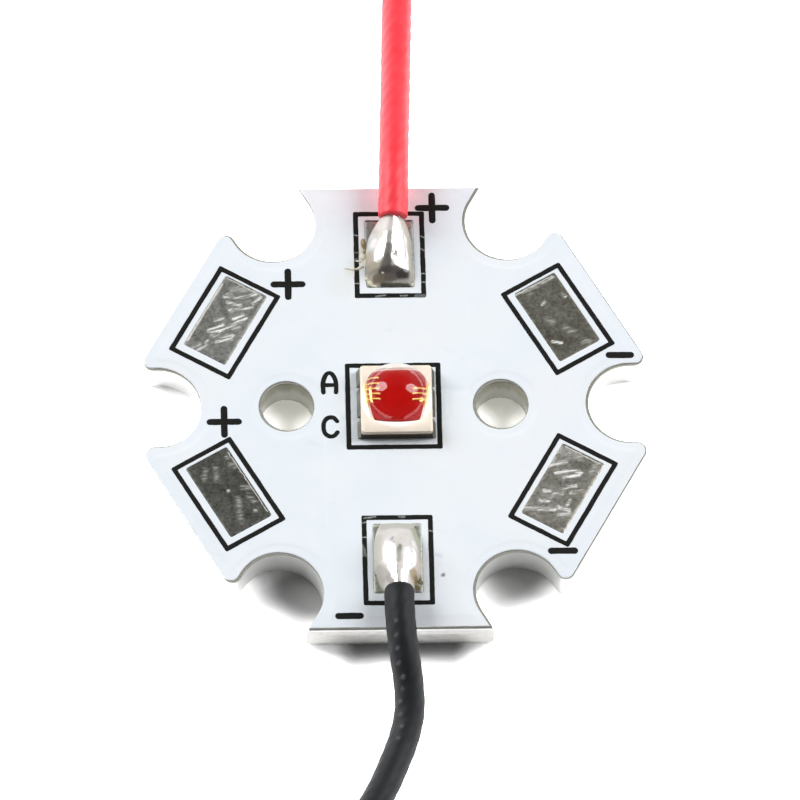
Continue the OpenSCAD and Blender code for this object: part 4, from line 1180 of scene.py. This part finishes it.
# ------------------------------------------------------------------ hand-soldered joints
def joint(name, node, sgn, crest_x, crest_z, left, right, t_end, flat_s, ridge, mat, dimples=(), seed=0.0):
    """Solder flowed round a stripped end; t runs from the insulation to the far edge."""
    ts = np.linspace(0, 1, 46) ** 1.0
    e0 = 7.955
    tt = t_end * np.sin(ts * math.pi / 2)
    tt[0] = 0.0
    shape = [(float(crest_x(t) - left(t)), sgn * (e0 - float(t))) for t in tt[:-1]]
    shape2 = [(float(crest_x(t) + right(t)), sgn * (e0 - float(t))) for t in tt[:-1]]
    lp = shape + [(float(crest_x(t_end)), sgn * (e0 - t_end))] + shape2[::-1]
    lp += seg(lp[-1], lp[0], 0.05)
    A = np.asarray(lp)
    area2 = (A[:, 0] * np.roll(A[:, 1], -1) - np.roll(A[:, 0], -1) * A[:, 1]).sum()
    if area2 < 0:
        lp = lp[::-1]

    def top(P):
        P = np.asarray(P, float)
        t = np.clip(e0 - sgn * P[:, 1], 0, t_end)
        c = crest_x(t)
        off = P[:, 0] - c
        s = np.abs(off)
        e = np.maximum(np.where(off > 0, right(t), left(t)), 1e-4)
        H = np.maximum(crest_z(t) - 1.597, 0)
        k = np.minimum(1, H / 0.7)
        D0 = np.where(s < 0.12, s * s / 0.24 * ridge, (s - 0.06) * ridge) * k
        s1 = e * flat_s
        q = np.clip((s - s1) / np.maximum(e - s1, 1e-4), 0, 1)
        De = (e - 0.06) * ridge * k
        D = D0 + np.maximum(H - De, 0) * (1 - np.sqrt(np.maximum(1 - q ** 2.05, 0)))
        z = 1.597 + np.maximum(H - D, 0)
        z = z + (0.010 * nz(P, 1.3, seed) + 0.002 * nz(P, 4.0, seed + 2)) * np.minimum(1, (z - 1.597) / 0.3)
        for x, y, r, depth in dimples:
            z = z - depth * np.exp(-((P[:, 0] - x) ** 2 + (P[:, 1] - y) ** 2) / (r * r))
        return np.maximum(z, 1.592)

    P = []
    for d in (0.006, 0.016, 0.03, 0.05, 0.075, 0.105, 0.145):
        P += inset(lp, d)
    P += grid(-1.1, 1.0, *sorted((sgn * e0, sgn * (e0 - t_end))), 0.045)
    P = np.array(P)
    P = P[inside(P, [lp])]
    P = P[dist_to(P, [lp]) > 0.005]
    P = np.array(thin_out([tuple(p) for p in P], 0.011))
    v, f = shell([lift([lp], 0.0, 1.584), lift([lp], 0.0, top)], top, None, P)
    print(name, len(v), len(f))
    return piece(name, v, f, mat, (node,), sharp=55, merge=False)


joint("solder_joint_red_flow", "solder_joint_red", 1,
      curve([-0.2, 0.0, 0.75, 1.75, 2.45, 3.0], [0.08, 0.08, -0.03, -0.14, -0.10, -0.06], 0.15),
      curve([-0.4, 0.0, 0.95, 1.95, 2.35, 2.62, 2.85, 3.2], [2.66, 2.62, 2.50, 2.36, 2.22, 1.92, 1.64, 1.60], 0.06),
      curve([-0.3, 0.0, 0.3, 0.85, 1.4, 2.4, 2.75, 2.9], [0.36, 0.40, 0.62, 0.84, 0.88, 0.86, 0.66, 0.45], 0.10),
      curve([-0.3, 0.0, 0.3, 0.85, 1.4, 2.4, 2.75, 2.9], [0.34, 0.38, 0.60, 0.84, 0.94, 0.98, 0.84, 0.60], 0.10),
      2.88, 0.02, 0.22, "solder", ((0.12, 6.20, 0.09, 0.045), (-0.36, 5.50, 0.05, 0.02)), 21.0)
joint("solder_joint_black_flow", "solder_joint_black", -1,
      curve([-0.2, 0.0, 1.0, 3.0], [-0.05, -0.05, -0.06, -0.06], 0.15),
      curve([-0.4, 0.0, 0.8, 1.6, 2.1, 2.5, 2.78, 3.1], [2.60, 2.58, 2.60, 2.60, 2.48, 2.12, 1.68, 1.60], 0.16),
      curve([-0.3, 0.0, 0.3, 0.9, 1.5, 2.2, 2.85, 3.0], [0.40, 0.46, 0.70, 0.86, 0.90, 0.88, 0.70, 0.5], 0.14),
      curve([-0.3, 0.0, 0.3, 0.9, 1.5, 2.2, 2.85, 3.0], [0.40, 0.46, 0.72, 0.88, 0.92, 0.86, 0.66, 0.5], 0.14),
      2.92, 0.02, 0.20, "solder_satin", (), 33.0)


def lumps(name, items, mat, nodes=()):
    """Small uneven drops, one ball each: (x, y, z, rx, ry, rz, turn)."""
    V, F = [], []
    for j, (x, y, z, rx, ry, rz, ang) in enumerate(items):
        n, m = 18, 11
        k = len(V)
        for i in range(m + 1):
            ph = math.pi * i / m
            for a in range(n):
                th = 2 * math.pi * a / n
                d = Vector((math.sin(ph) * math.cos(th), math.sin(ph) * math.sin(th), math.cos(ph)))
                w = 1 + 0.5 * mnoise.noise(d * 1.7 + Vector((j * 5.3, 2.0, 1.0)))
                px, py = turn((d.x * rx * w, d.y * ry * w), ang)
                V.append((x + px, y + py, max(z - 0.01 + d.z * rz * w * 0.6, 1.586)))
        for i in range(m):
            for a in range(n):
                b = (a + 1) % n
                F.append((k + i * n + a, k + i * n + b, k + (i + 1) * n + b, k + (i + 1) * n + a))
    return piece(name, V, F, mat, nodes, sharp=60)


lumps("flux_amber_rear", [(-1.05, 6.92, 1.62, 0.085, 0.24, 0.07, 4), (-1.02, 6.62, 1.61, 0.06, 0.12, 0.05, -10)],
      "flux_amber")
lumps("flux_pale_rear", [(-1.06, 6.36, 1.62, 0.10, 0.18, 0.06, 10), (-0.94, 6.10, 1.63, 0.12, 0.16, 0.07, 30),
                         (-1.28, 6.18, 1.62, 0.10, 0.05, 0.03, -10),
                         (-1.22, 5.90, 1.625, 0.13, 0.05, 0.04, 25), (-1.42, 5.84, 1.625, 0.16, 0.035, 0.035, 6),
                         (-1.66, 5.86, 1.62, 0.17, 0.018, 0.022, -8),
                         (-0.93, 5.42, 1.62, 0.10, 0.09, 0.06, 0), (-0.82, 5.28, 1.62, 0.10, 0.12, 0.05, 30),
                         (-0.70, 5.12, 1.61, 0.16, 0.05, 0.035, -14),
                         (0.80, 5.16, 1.61, 0.07, 0.06, 0.04, 20)],
      "flux_pale")
lumps("flux_amber_front", [(0.76, -7.46, 1.60, 0.09, 0.20, 0.035, 25), (0.66, -7.74, 1.60, 0.12, 0.10, 0.03, 10)],
      "flux_brown")


# ------------------------------------------------------------------ the LED
def led():
    def box(name, w, h, r, levels, mat, node, n=6):
        lp = rrect(LED_X, -0.02, w, h, r, 0, 0.2, n=n)
        v, f = shell([lift([lp], d, z) for d, z in levels])
        return piece(name, v, f, mat, (node,), sharp=40)

    box("led_carrier", 2.76, 2.85, 0.10, ((0.02, 1.655), (0.0, 1.675), (0.0, 2.07), (0.012, 2.08)),
        "ceramic", "led_substrate")

    # lens: flange and dome in one closed skin
    R, zc = 1.36, 2.21
    n = 96
    body = rrect(LED_X, -0.03, 2.752, 2.86, 0.12, 0, 0.12, n=8)
    foot = circle(LED_X, 0, R, n, True)
    verts, faces = [], []

    def ring(pts):
        k = len(verts)
        verts.extend(pts)
        return k

    m = len(body)
    rows = [ring([(x, y, z) for x, y in inset(body, d)])
            for d, z in ((0.0, 2.072), (0.0, 2.192), (0.004, 2.203), (0.013, 2.21))]
    for a, b in zip(rows, rows[1:]):
        faces += [(a + i, a + (i + 1) % m, b + (i + 1) % m, b + i) for i in range(m)]
    last = rows[-1]
    dome = ring([(x, y, zc) for x, y in foot])
    for t in fill([inset(body, 0.013), foot]):
        faces.append(tuple((last + i) if i < m else (dome + i - m) for i in t))
    prev = dome
    steps = 30
    for j in range(1, steps):
        a = math.pi / 2 * j / steps
        k = ring([(LED_X + (x - LED_X) * math.cos(a), y * math.cos(a), zc + R * math.sin(a)) for x, y in foot])
        faces += [(prev + i, prev + (i + 1) % n, k + (i + 1) % n, k + i) for i in range(n)]
        prev = k
    apex = ring([(LED_X, 0, zc + R)])
    faces += [(prev + i, prev + (i + 1) % n, apex) for i in range(n)]
    faces += [t[::-1] for t in fill([[(x, y) for x, y in body]])]
    piece("led_lens_dome", verts, faces, "clear", ("led_lens",), sharp=35)

    # bond wires
    V, F = [], []
    r = 0.019
    for side, offs in ((-1, (0.57, 0.425, 0.28, 0.134, -0.02)), (1, (0.27, 0.13, -0.04))):
        for y in offs:
            pts = [(LED_X + side * 0.44, y, 2.20), (LED_X + side * 0.48, y, 2.222), (LED_X + side * 0.56, y, 2.232),
                   (LED_X + side * 0.68, y, 2.226), (LED_X + side * 0.755, y, 2.17), (LED_X + side * 0.79, y, 2.11)]
            path = []
            P = [tuple(2 * a - b for a, b in zip(pts[0], pts[1]))] + pts + [tuple(2 * a - b for a, b in zip(pts[-1], pts[-2]))]
            for i in range(1, len(P) - 2):
                for k in range(4):
                    t = k / 4
                    path.append(Vector([0.5 * ((2 * b) + (-a + c) * t + (2 * a - 5 * b + 4 * c - d) * t * t
                                               + (-a + 3 * b - 3 * c + d) * t ** 3)
                                        for a, b, c, d in zip(*P[i - 1:i + 3])]))
            path.append(Vector(pts[-1]))
            base = len(V)
            sd = 12
            for i, p in enumerate(path):
                tg = (path[min(i + 1, len(path) - 1)] - path[max(i - 1, 0)]).normalized()
                a = Vector((0, 1, 0))
                b = tg.cross(a).normalized()
                end = min(i, len(path) - 1 - i)
                rr = r * (1.25 if end == 0 else 1.1 if end == 1 else 1.0)
                for k in range(sd):
                    th = 2 * math.pi * k / sd
                    q = p + a * (rr * math.cos(th)) + b * (rr * math.sin(th))
                    V.append((q.x, q.y, q.z))
            for i in range(len(path) - 1):
                for k in range(sd):
                    k2 = (k + 1) % sd
                    F.append((base + i * sd + k, base + i * sd + k2, base + (i + 1) * sd + k2, base + (i + 1) * sd + k))
            F.append(tuple(base + k for k in range(sd - 1, -1, -1)))
            F.append(tuple(base + (len(path) - 1) * sd + k for k in range(sd)))
    for x0, x1, y0, y1 in ((-0.69, -0.62, -0.12, 0.34), (0.66, 0.775, -0.12, 0.02)):
        lp = rrect((x0 + x1) / 2, (y0 + y1) / 2, x1 - x0, y1 - y0, 0.05, 0, 0.3, n=4)
        v, f = shell([lift([lp], 0.0, 2.19), lift([lp], 0.0, 2.203), lift([lp], 0.008, 2.208)])
        k = len(V)
        V.extend(v)
        F.extend(tuple(i + k for i in t) for t in f)
    piece("led_bond_wire_tubes", V, F, "gold", ("led_bond_wires",), sharp=60)

    # white casting: fills the rim and closes round the chip
    lp = [rrect(LED_X, -0.02, 2.70, 2.78, 0.12, 0, 0.12, n=6), rrect(LED_X + 0.01, 0.015, 1.84, 1.57, 0.22, 0, 0.12, cw=True, n=8)]
    v, f = shell([lift(lp, 0.0, 2.081), lift(lp, 0.0, 2.150), lift(lp, 0.02, 2.162)])
    piece("led_casting", v, f, "casting", ("led_reflector",), sharp=40)

    # die with softened edges
    lp = rrect(LED_X, 0.0, 1.46, 1.5, 0.03, 0, 0.3, n=3)
    v, f = shell([lift([lp], 0.0, 2.095), lift([lp], 0.0, 2.185), lift([lp], 0.012, 2.195)])
    piece("led_die_chip", v, f, "die", ("led_die",), sharp=40)


led()


# ------------------------------------------------------------------ leads
def catmull(pts, step):
    P = [tuple(2 * a - b for a, b in zip(pts[0], pts[1]))] + list(pts) + \
        [tuple(2 * a - b for a, b in zip(pts[-1], pts[-2]))]
    out = []
    for i in range(1, len(P) - 2):
        p0, p1, p2, p3 = P[i - 1:i + 3]
        n = max(2, int(math.dist(p1, p2) / step))
        for k in range(n):
            t = k / n
            out.append(tuple(0.5 * ((2 * b) + (-a + c) * t + (2 * a - 5 * b + 4 * c - d) * t * t
                                    + (-a + 3 * b - 3 * c + d) * t ** 3)
                             for a, b, c, d in zip(p0, p1, p2, p3)))
    out.append(tuple(pts[-1]))
    return out


def path_length(p):
    return sum(math.dist(a, b) for a, b in zip(p, p[1:]))


LEAD_R = 0.575
PITCH = 1.16
Z1, Z2 = 0.58, 1.74
TAIL = 4.0
TIP = 5.0


def lead_path(pts, heading, th0, sgn, th1, total):
    """Run, a neat coil of two layers, and a short tail, total mm long."""
    run = catmull(pts, 0.1)
    t = 4.2
    tang = (pts[-1][0] + heading[0] * t, pts[-1][1] + heading[1] * t)
    straight = [(pts[-1][0] + heading[0] * t * k / 40, pts[-1][1] + heading[1] * t * k / 40, Z1)
                for k in range(1, 41)]
    sweep = ((th1 - th0) * sgn) % 360 + 360 * 4
    half = math.radians(sweep) / 2

    def coil(r0):
        cx = tang[0] - r0 * math.cos(math.radians(th0))
        cy = tang[1] - r0 * math.sin(math.radians(th0))
        out = []
        n = int(math.radians(sweep) * 6.4 / 0.14)
        for k in range(n + 1):
            f = math.radians(sweep) * k / n
            r = r0 - PITCH * (f if f < half else 2 * half - f) / (2 * math.pi)
            # ease the turn at the innermost point
            u = min(max((f - half) / math.radians(55) + 0.5, 0), 1)
            z = Z1 + (Z2 - Z1) * (u * u * (3 - 2 * u))
            a = math.radians(th0) + sgn * f
            out.append((cx + r * math.cos(a), cy + r * math.sin(a), z))
        return out[1:], (cx, cy)

    lo, hi = 6.5, 8.5
    for _ in range(40):
        r0 = (lo + hi) / 2
        c, centre = coil(r0)
        L = path_length(run + straight + c) + TAIL
        if L > total:
            hi = r0
        else:
            lo = r0
    e = c[-1]
    a = math.radians(th1)
    h = Vector((-math.sin(a) * sgn, math.cos(a) * sgn, -0.16)).normalized()
    tail = [(e[0] + h.x * TAIL * k / 30, e[1] + h.y * TAIL * k / 30, e[2] + h.z * TAIL * k / 30)
            for k in range(1, 31)]
    return run + straight + c + tail, h, r0, centre


def frames(path):
    """Position, tangent and two normals along a path, without twist."""
    P = [Vector(p) for p in path]
    out = []
    n = None
    for i, p in enumerate(P):
        t = (P[min(i + 1, len(P) - 1)] - P[max(i - 1, 0)]).normalized()
        if n is None:
            up = Vector((0, 0, 1))
            n = (up - t * up.dot(t)).normalized()
        n = (n - t * n.dot(t)).normalized()
        out.append((p, t, n, t.cross(n)))
    return out


def resample(path, step):
    out = [Vector(path[0])]
    need = step
    for a, b in zip(path, path[1:]):
        a, b = Vector(a), Vector(b)
        d = (b - a).length
        while d >= need - 1e-12 and d > 0:
            a = a + (b - a) * (need / d)
            out.append(a.copy())
            d = (b - a).length
            need = step
        need -= d
    if (out[-1] - Vector(path[-1])).length > step * 0.3:
        out.append(Vector(path[-1]))
    else:
        out[-1] = Vector(path[-1])
    return out


CUT = ((0.0, 0.34), (0.0, 0.50), (0.012, 0.545), (0.04, 0.568), (0.08, 0.575))
MELT = ((0.0, 0.20), (0.012, 0.32), (0.045, 0.42), (0.10, 0.50), (0.18, 0.552), (0.28, 0.575))


def insulation(name, path, mat, nodes, near, sides=42, lobes=6, lay=4.1, amp=0.012, seed=0.0,
               step=0.075, fine_to=24.0, phase=0.0):
    """Tube of insulation; the strands inside show as faint ridges that wind round it."""
    P = resample(path, step)
    F = frames(P)
    verts, faces = [], []
    rings = []

    def ring(p, a, b, t, r, s, soft=1.0):
        i0 = len(verts)
        for k in range(sides):
            th = 2 * math.pi * k / sides
            w = abs(math.cos(lobes / 2 * (th - 2 * math.pi * s / lay - phase)))
            w = 2 * w ** 0.8 - 1
            w2 = mnoise.noise(Vector((math.cos(th) * 0.9 + seed, math.sin(th) * 0.9, s * 0.55)))
            w3 = mnoise.noise(Vector((math.cos(th) * 2.2 + seed, math.sin(th) * 2.2, s * 2.1)))
            rr = r + LEAD_R * (amp * w + 0.008 * w2 + 0.004 * w3) * soft
            rr = min(rr, LEAD_R * 1.012)
            q = p + a * (rr * math.cos(th)) + b * (rr * math.sin(th))
            verts.append((q.x, q.y, max(q.z, 0.002)))
        rings.append(i0)

    p, t, a, b = F[0]
    for back, r in near:
        ring(p + t * back, a, b, t, r * LEAD_R / 0.575, back, 0.35)
    skip = int(near[-1][0] / step) + 1
    for i in range(skip, len(F) - 3):
        s = i * step
        if s > fine_to and i % 2:
            continue
        p, t, a, b = F[i]
        ring(p, a, b, t, LEAD_R * 0.995, s)
    p, t, a, b = F[-1]
    for back, r in reversed(CUT):
        ring(p - t * back, a, b, t, r * LEAD_R / 0.575, (len(F) - 1) * step, 0.35)
    for i in range(len(rings) - 1):
        A, B = rings[i], rings[i + 1]
        for k in range(sides):
            k2 = (k + 1) % sides
            faces.append((A + k, A + k2, B + k2, B + k))
    faces.append(tuple(range(rings[0] + sides - 1, rings[0] - 1, -1)))
    faces.append(tuple(range(rings[-1], rings[-1] + sides)))
    return piece(name, verts, faces, mat, nodes, sharp=70)


def strands(name, p0, p1, r, nodes, mat="strand", lay=4.0, flare=0.0, n_out=6, cut=None):
    """Twisted tinned strands from p0 to p1, six round one."""
    p0, p1 = Vector(p0), Vector(p1)
    L = (p1 - p0).length
    t = (p1 - p0).normalized()
    a = (Vector((0, 0, 1)) - t * t.z).normalized()
    b = t.cross(a)
    rs = r / 3
    verts, faces = [], []
    n = max(6, int(L / 0.1))
    sd = 12
    for j in range(n_out + 1):
        off = 0.0 if j == 0 else 2 * rs * 0.985
        base = len(verts)
        Lj = L - (0 if j == 0 else (0.11 * ((j * 37) % 5) / 5 if cut is None else 0))
        for i in range(n + 1):
            s = Lj * i / n
            ang = 2 * math.pi * (j / n_out + s / lay)
            fl = 1 + flare * max(0, (s - L * 0.6) / (L * 0.4)) ** 2
            c = p0 + t * s + (a * math.cos(ang) + b * math.sin(ang)) * off * fl
            for k in range(sd):
                th = 2 * math.pi * k / sd
                q = c + (a * math.cos(th) + b * math.sin(th)) * rs
                verts.append((q.x, q.y, max(q.z, 0.004)))
        for i in range(n):
            for k in range(sd):
                k2 = (k + 1) % sd
                faces.append((base + i * sd + k, base + i * sd + k2,
                              base + (i + 1) * sd + k2, base + (i + 1) * sd + k))
        faces.append(tuple(base + k for k in range(sd - 1, -1, -1)))
        faces.append(tuple(base + n * sd + k for k in range(sd)))
    return piece(name, verts, faces, mat, nodes, sharp=60)


RED = [(0.10, 7.95, 2.30), (0.14, 9.10, 2.45), (0.19, 10.40, 2.42), (0.26, 12.00, 2.15),
       (0.34, 13.60, 1.75), (0.42, 15.40, 1.25), (0.49, 17.00, 0.85), (0.54, 18.40, 0.63),
       (0.47, 19.34, 0.58), (0.25, 20.25, 0.58), (-0.10, 21.13, 0.58)]
BLACK = [(-0.05, -7.95, 2.30), (-0.05, -8.95, 2.34), (0.01, -9.93, 2.18), (0.13, -10.87, 1.84),
         (0.25, -11.74, 1.34), (0.26, -12.63, 0.90), (0.03, -13.60, 0.65), (-0.35, -14.59, 0.58),
         (-0.78, -15.58, 0.58), (-1.26, -16.46, 0.58), (-1.76, -17.33, 0.58), (-2.26, -18.20, 0.58),
         (-2.76, -19.07, 0.58)]
LEN = 195.0
for key, pts, head, th0, sgn, th1 in (("red", RED, (-0.454, 0.891), -153, -1, 90),
                                      ("black", BLACK, (-0.5, -0.866), 150, 1, -90)):
    path, h, r0, centre = lead_path(pts, head, th0, sgn, th1, LEN)
    o = insulation(f"{key}_lead_wire", path, key,
                   (f"{key}_lead", f"{key}_lead_coil"), tuple((b - 0.2, r) for b, r in CUT) if key == "red" else MELT,
                   seed=3.0 if key == "red" else 9.0, amp=0.018 if key == "red" else 0.014)
    e = Vector(path[-1])
    tip = strands(f"{key}_lead_tip_strands", e - h * 0.3, e + h * TIP, 0.31,
                  (f"{key}_lead_tip",), flare=0.02)
    s0, s1 = Vector(pts[0]), Vector(pts[1])
    u = (s1 - s0).normalized()
    strands(f"{key}_conductor_strands", s0 - u * 1.75, s0 + u * 0.06, 0.285,
            (f"{key}_conductor_end",), cut=0)
    print("LEAD", key, round(path_length(path), 3), "coil r", round(r0, 3), "centre", centre)

# ------------------------------------------------------------------ finish on the nodes kept as built
for node, mat in (("dielectric_layer", "dielectric"),
                  ("copper_anode", "copper"), ("copper_cathode", "copper"), ("copper_thermal", "copper"),
                  ("led_solder_anode", "solder_led"), ("led_solder_thermal", "solder_led"),
                  ("led_solder_cathode", "solder_led"), ("led_terminal_anode", "terminal"),
                  ("led_terminal_thermal", "terminal"), ("led_terminal_cathode", "terminal_dark"),
                  ("led_top_metal", "topmetal")):
    paint(node, mat)


# ------------------------------------------------------------------ floor, light
def floor():
    g = Graph("floor")
    p = g.obj()
    f = g.flat(p)
    n = g.noise(p, 0.05, 2.0, 0.5)
    r = g.vmath("LENGTH", f, (0, 0, 0), "Value")
    x, y, z = g.xyz(p)
    # painted light and shadow on the floor: lighter under the middle where the holes show it, painted shadows in the
    # two front slots and as a band along the front edge, lighter in front of that edge and further out
    near = g.math("ADD", 2.15, g.step(r, 5.0, 6.5, 0.30, 0.0))
    near = g.math("SUBTRACT", near, g.math("MULTIPLY", g.spot(f, (-3.6, -7.2, 0), 0.7, 2.0), 1.80))
    near = g.math("SUBTRACT", near, g.math("MULTIPLY", g.spot(f, (4.6, -6.5, 0), 0.6, 2.0), 1.62))
    near = g.math("MAXIMUM", near, 0.34)
    out = g.step(r, 8.5, 10.5)
    tone = g.math("ADD", near, g.math("MULTIPLY", out, g.math("SUBTRACT", 2.8, near)))
    close = g.math("MULTIPLY", g.step(y, -9.2, -9.0, 1.0, 0.0), g.step(g.math("ABSOLUTE", x), 3.2, 4.2, 1.0, 0.0))
    tone = g.math("MAXIMUM", tone, g.math("MULTIPLY", close, 2.4))
    tone = g.math("MULTIPLY", tone, g.math("SUBTRACT", 1.0, g.math("MULTIPLY", g.stroke(f, (-1.5, -9.45), (1.9, -9.45), 0.15, 1.15), 0.82)))
    tone = g.math("ADD", tone, g.math("MULTIPLY", n, 0.06))
    d = g.new("ShaderNodeBsdfDiffuse")
    col = g.new("ShaderNodeCombineColor")
    for k in range(3):
        g.put(col.inputs[k], tone)
    g.t.links.new(col.outputs[0], d.inputs[0])
    g.t.links.new(d.outputs[0], g.out.inputs[0])
    me = bpy.data.meshes.new("floor")
    s = 1.2
    me.from_pydata([(-s, -s, 0), (s, -s, 0), (s, s, 0), (-s, s, 0)], [], [(0, 1, 2, 3)])
    o = bpy.data.objects.new("floor", me)
    scene.collection.objects.link(o)
    me.materials.append(g.m)
    return o


floor()


def area(name, az, el, dist, wide, high, power, color=(1, 1, 1)):
    az, el = math.radians(az), math.radians(el)
    d = Vector((math.cos(az) * math.cos(el), math.sin(az) * math.cos(el), math.sin(el)))
    L = bpy.data.lights.new(name, "AREA")
    L.shape = "ELLIPSE"
    L.size = wide
    L.size_y = high
    L.energy = power
    L.color = color
    o = bpy.data.objects.new(name, L)
    o.location = d * dist
    o.rotation_mode = "QUATERNION"
    o.rotation_quaternion = (-d).to_track_quat("-Z", "Y")
    scene.collection.objects.link(o)
    return o


area("lamp_left", 155, 36, 0.60, 0.30, 0.44, 2.95)
area("lamp_right", 16, 40, 0.60, 0.30, 0.44, 2.7)

# a soft room: pale walls low down behind and at the sides, darker overhead and in front
world = bpy.data.worlds.new("world")
scene.world = world
world.use_nodes = True
wt = world.node_tree
wt.nodes.clear()


def wnode(kind, **props):
    n = wt.nodes.new(kind)
    for k, v in props.items():
        setattr(n, k, v)
    return n


def wmath(op, a, b=0.0, clamp=False):
    n = wnode("ShaderNodeMath", operation=op, use_clamp=clamp)
    for s, v in ((n.inputs[0], a), (n.inputs[1], b)):
        if isinstance(v, bpy.types.NodeSocket):
            wt.links.new(v, s)
        else:
            s.default_value = v
    return n.outputs[0]


def wstep(v, lo, hi, a, b):
    n = wnode("ShaderNodeMapRange", interpolation_type="SMOOTHSTEP")
    wt.links.new(v, n.inputs["Value"])
    for k, x in (("From Min", lo), ("From Max", hi), ("To Min", a), ("To Max", b)):
        n.inputs[k].default_value = x
    return n.outputs[0]


tc = wnode("ShaderNodeTexCoord")
sx = wnode("ShaderNodeSeparateXYZ")
wt.links.new(tc.outputs["Generated"], sx.inputs[0])
low = wstep(sx.outputs[2], 0.34, 0.74, 0.46, 0.0)
front = wstep(sx.outputs[1], -0.50, 0.05, 0.20, 1.0)
rear = wmath("MULTIPLY", wstep(sx.outputs[1], 0.10, 0.55, 0.0, 0.13), wstep(sx.outputs[2], 0.5, 0.8, 0.0, 1.0))
total = wmath("ADD", wmath("MULTIPLY", low, front), wmath("ADD", rear, 0.07))
wo = wnode("ShaderNodeOutputWorld")
wb = wnode("ShaderNodeBackground")
wb.inputs["Color"].default_value = (0.97, 0.98, 1.0, 1)
wt.links.new(total, wb.inputs["Strength"])
wt.links.new(wb.outputs[0], wo.inputs[0])
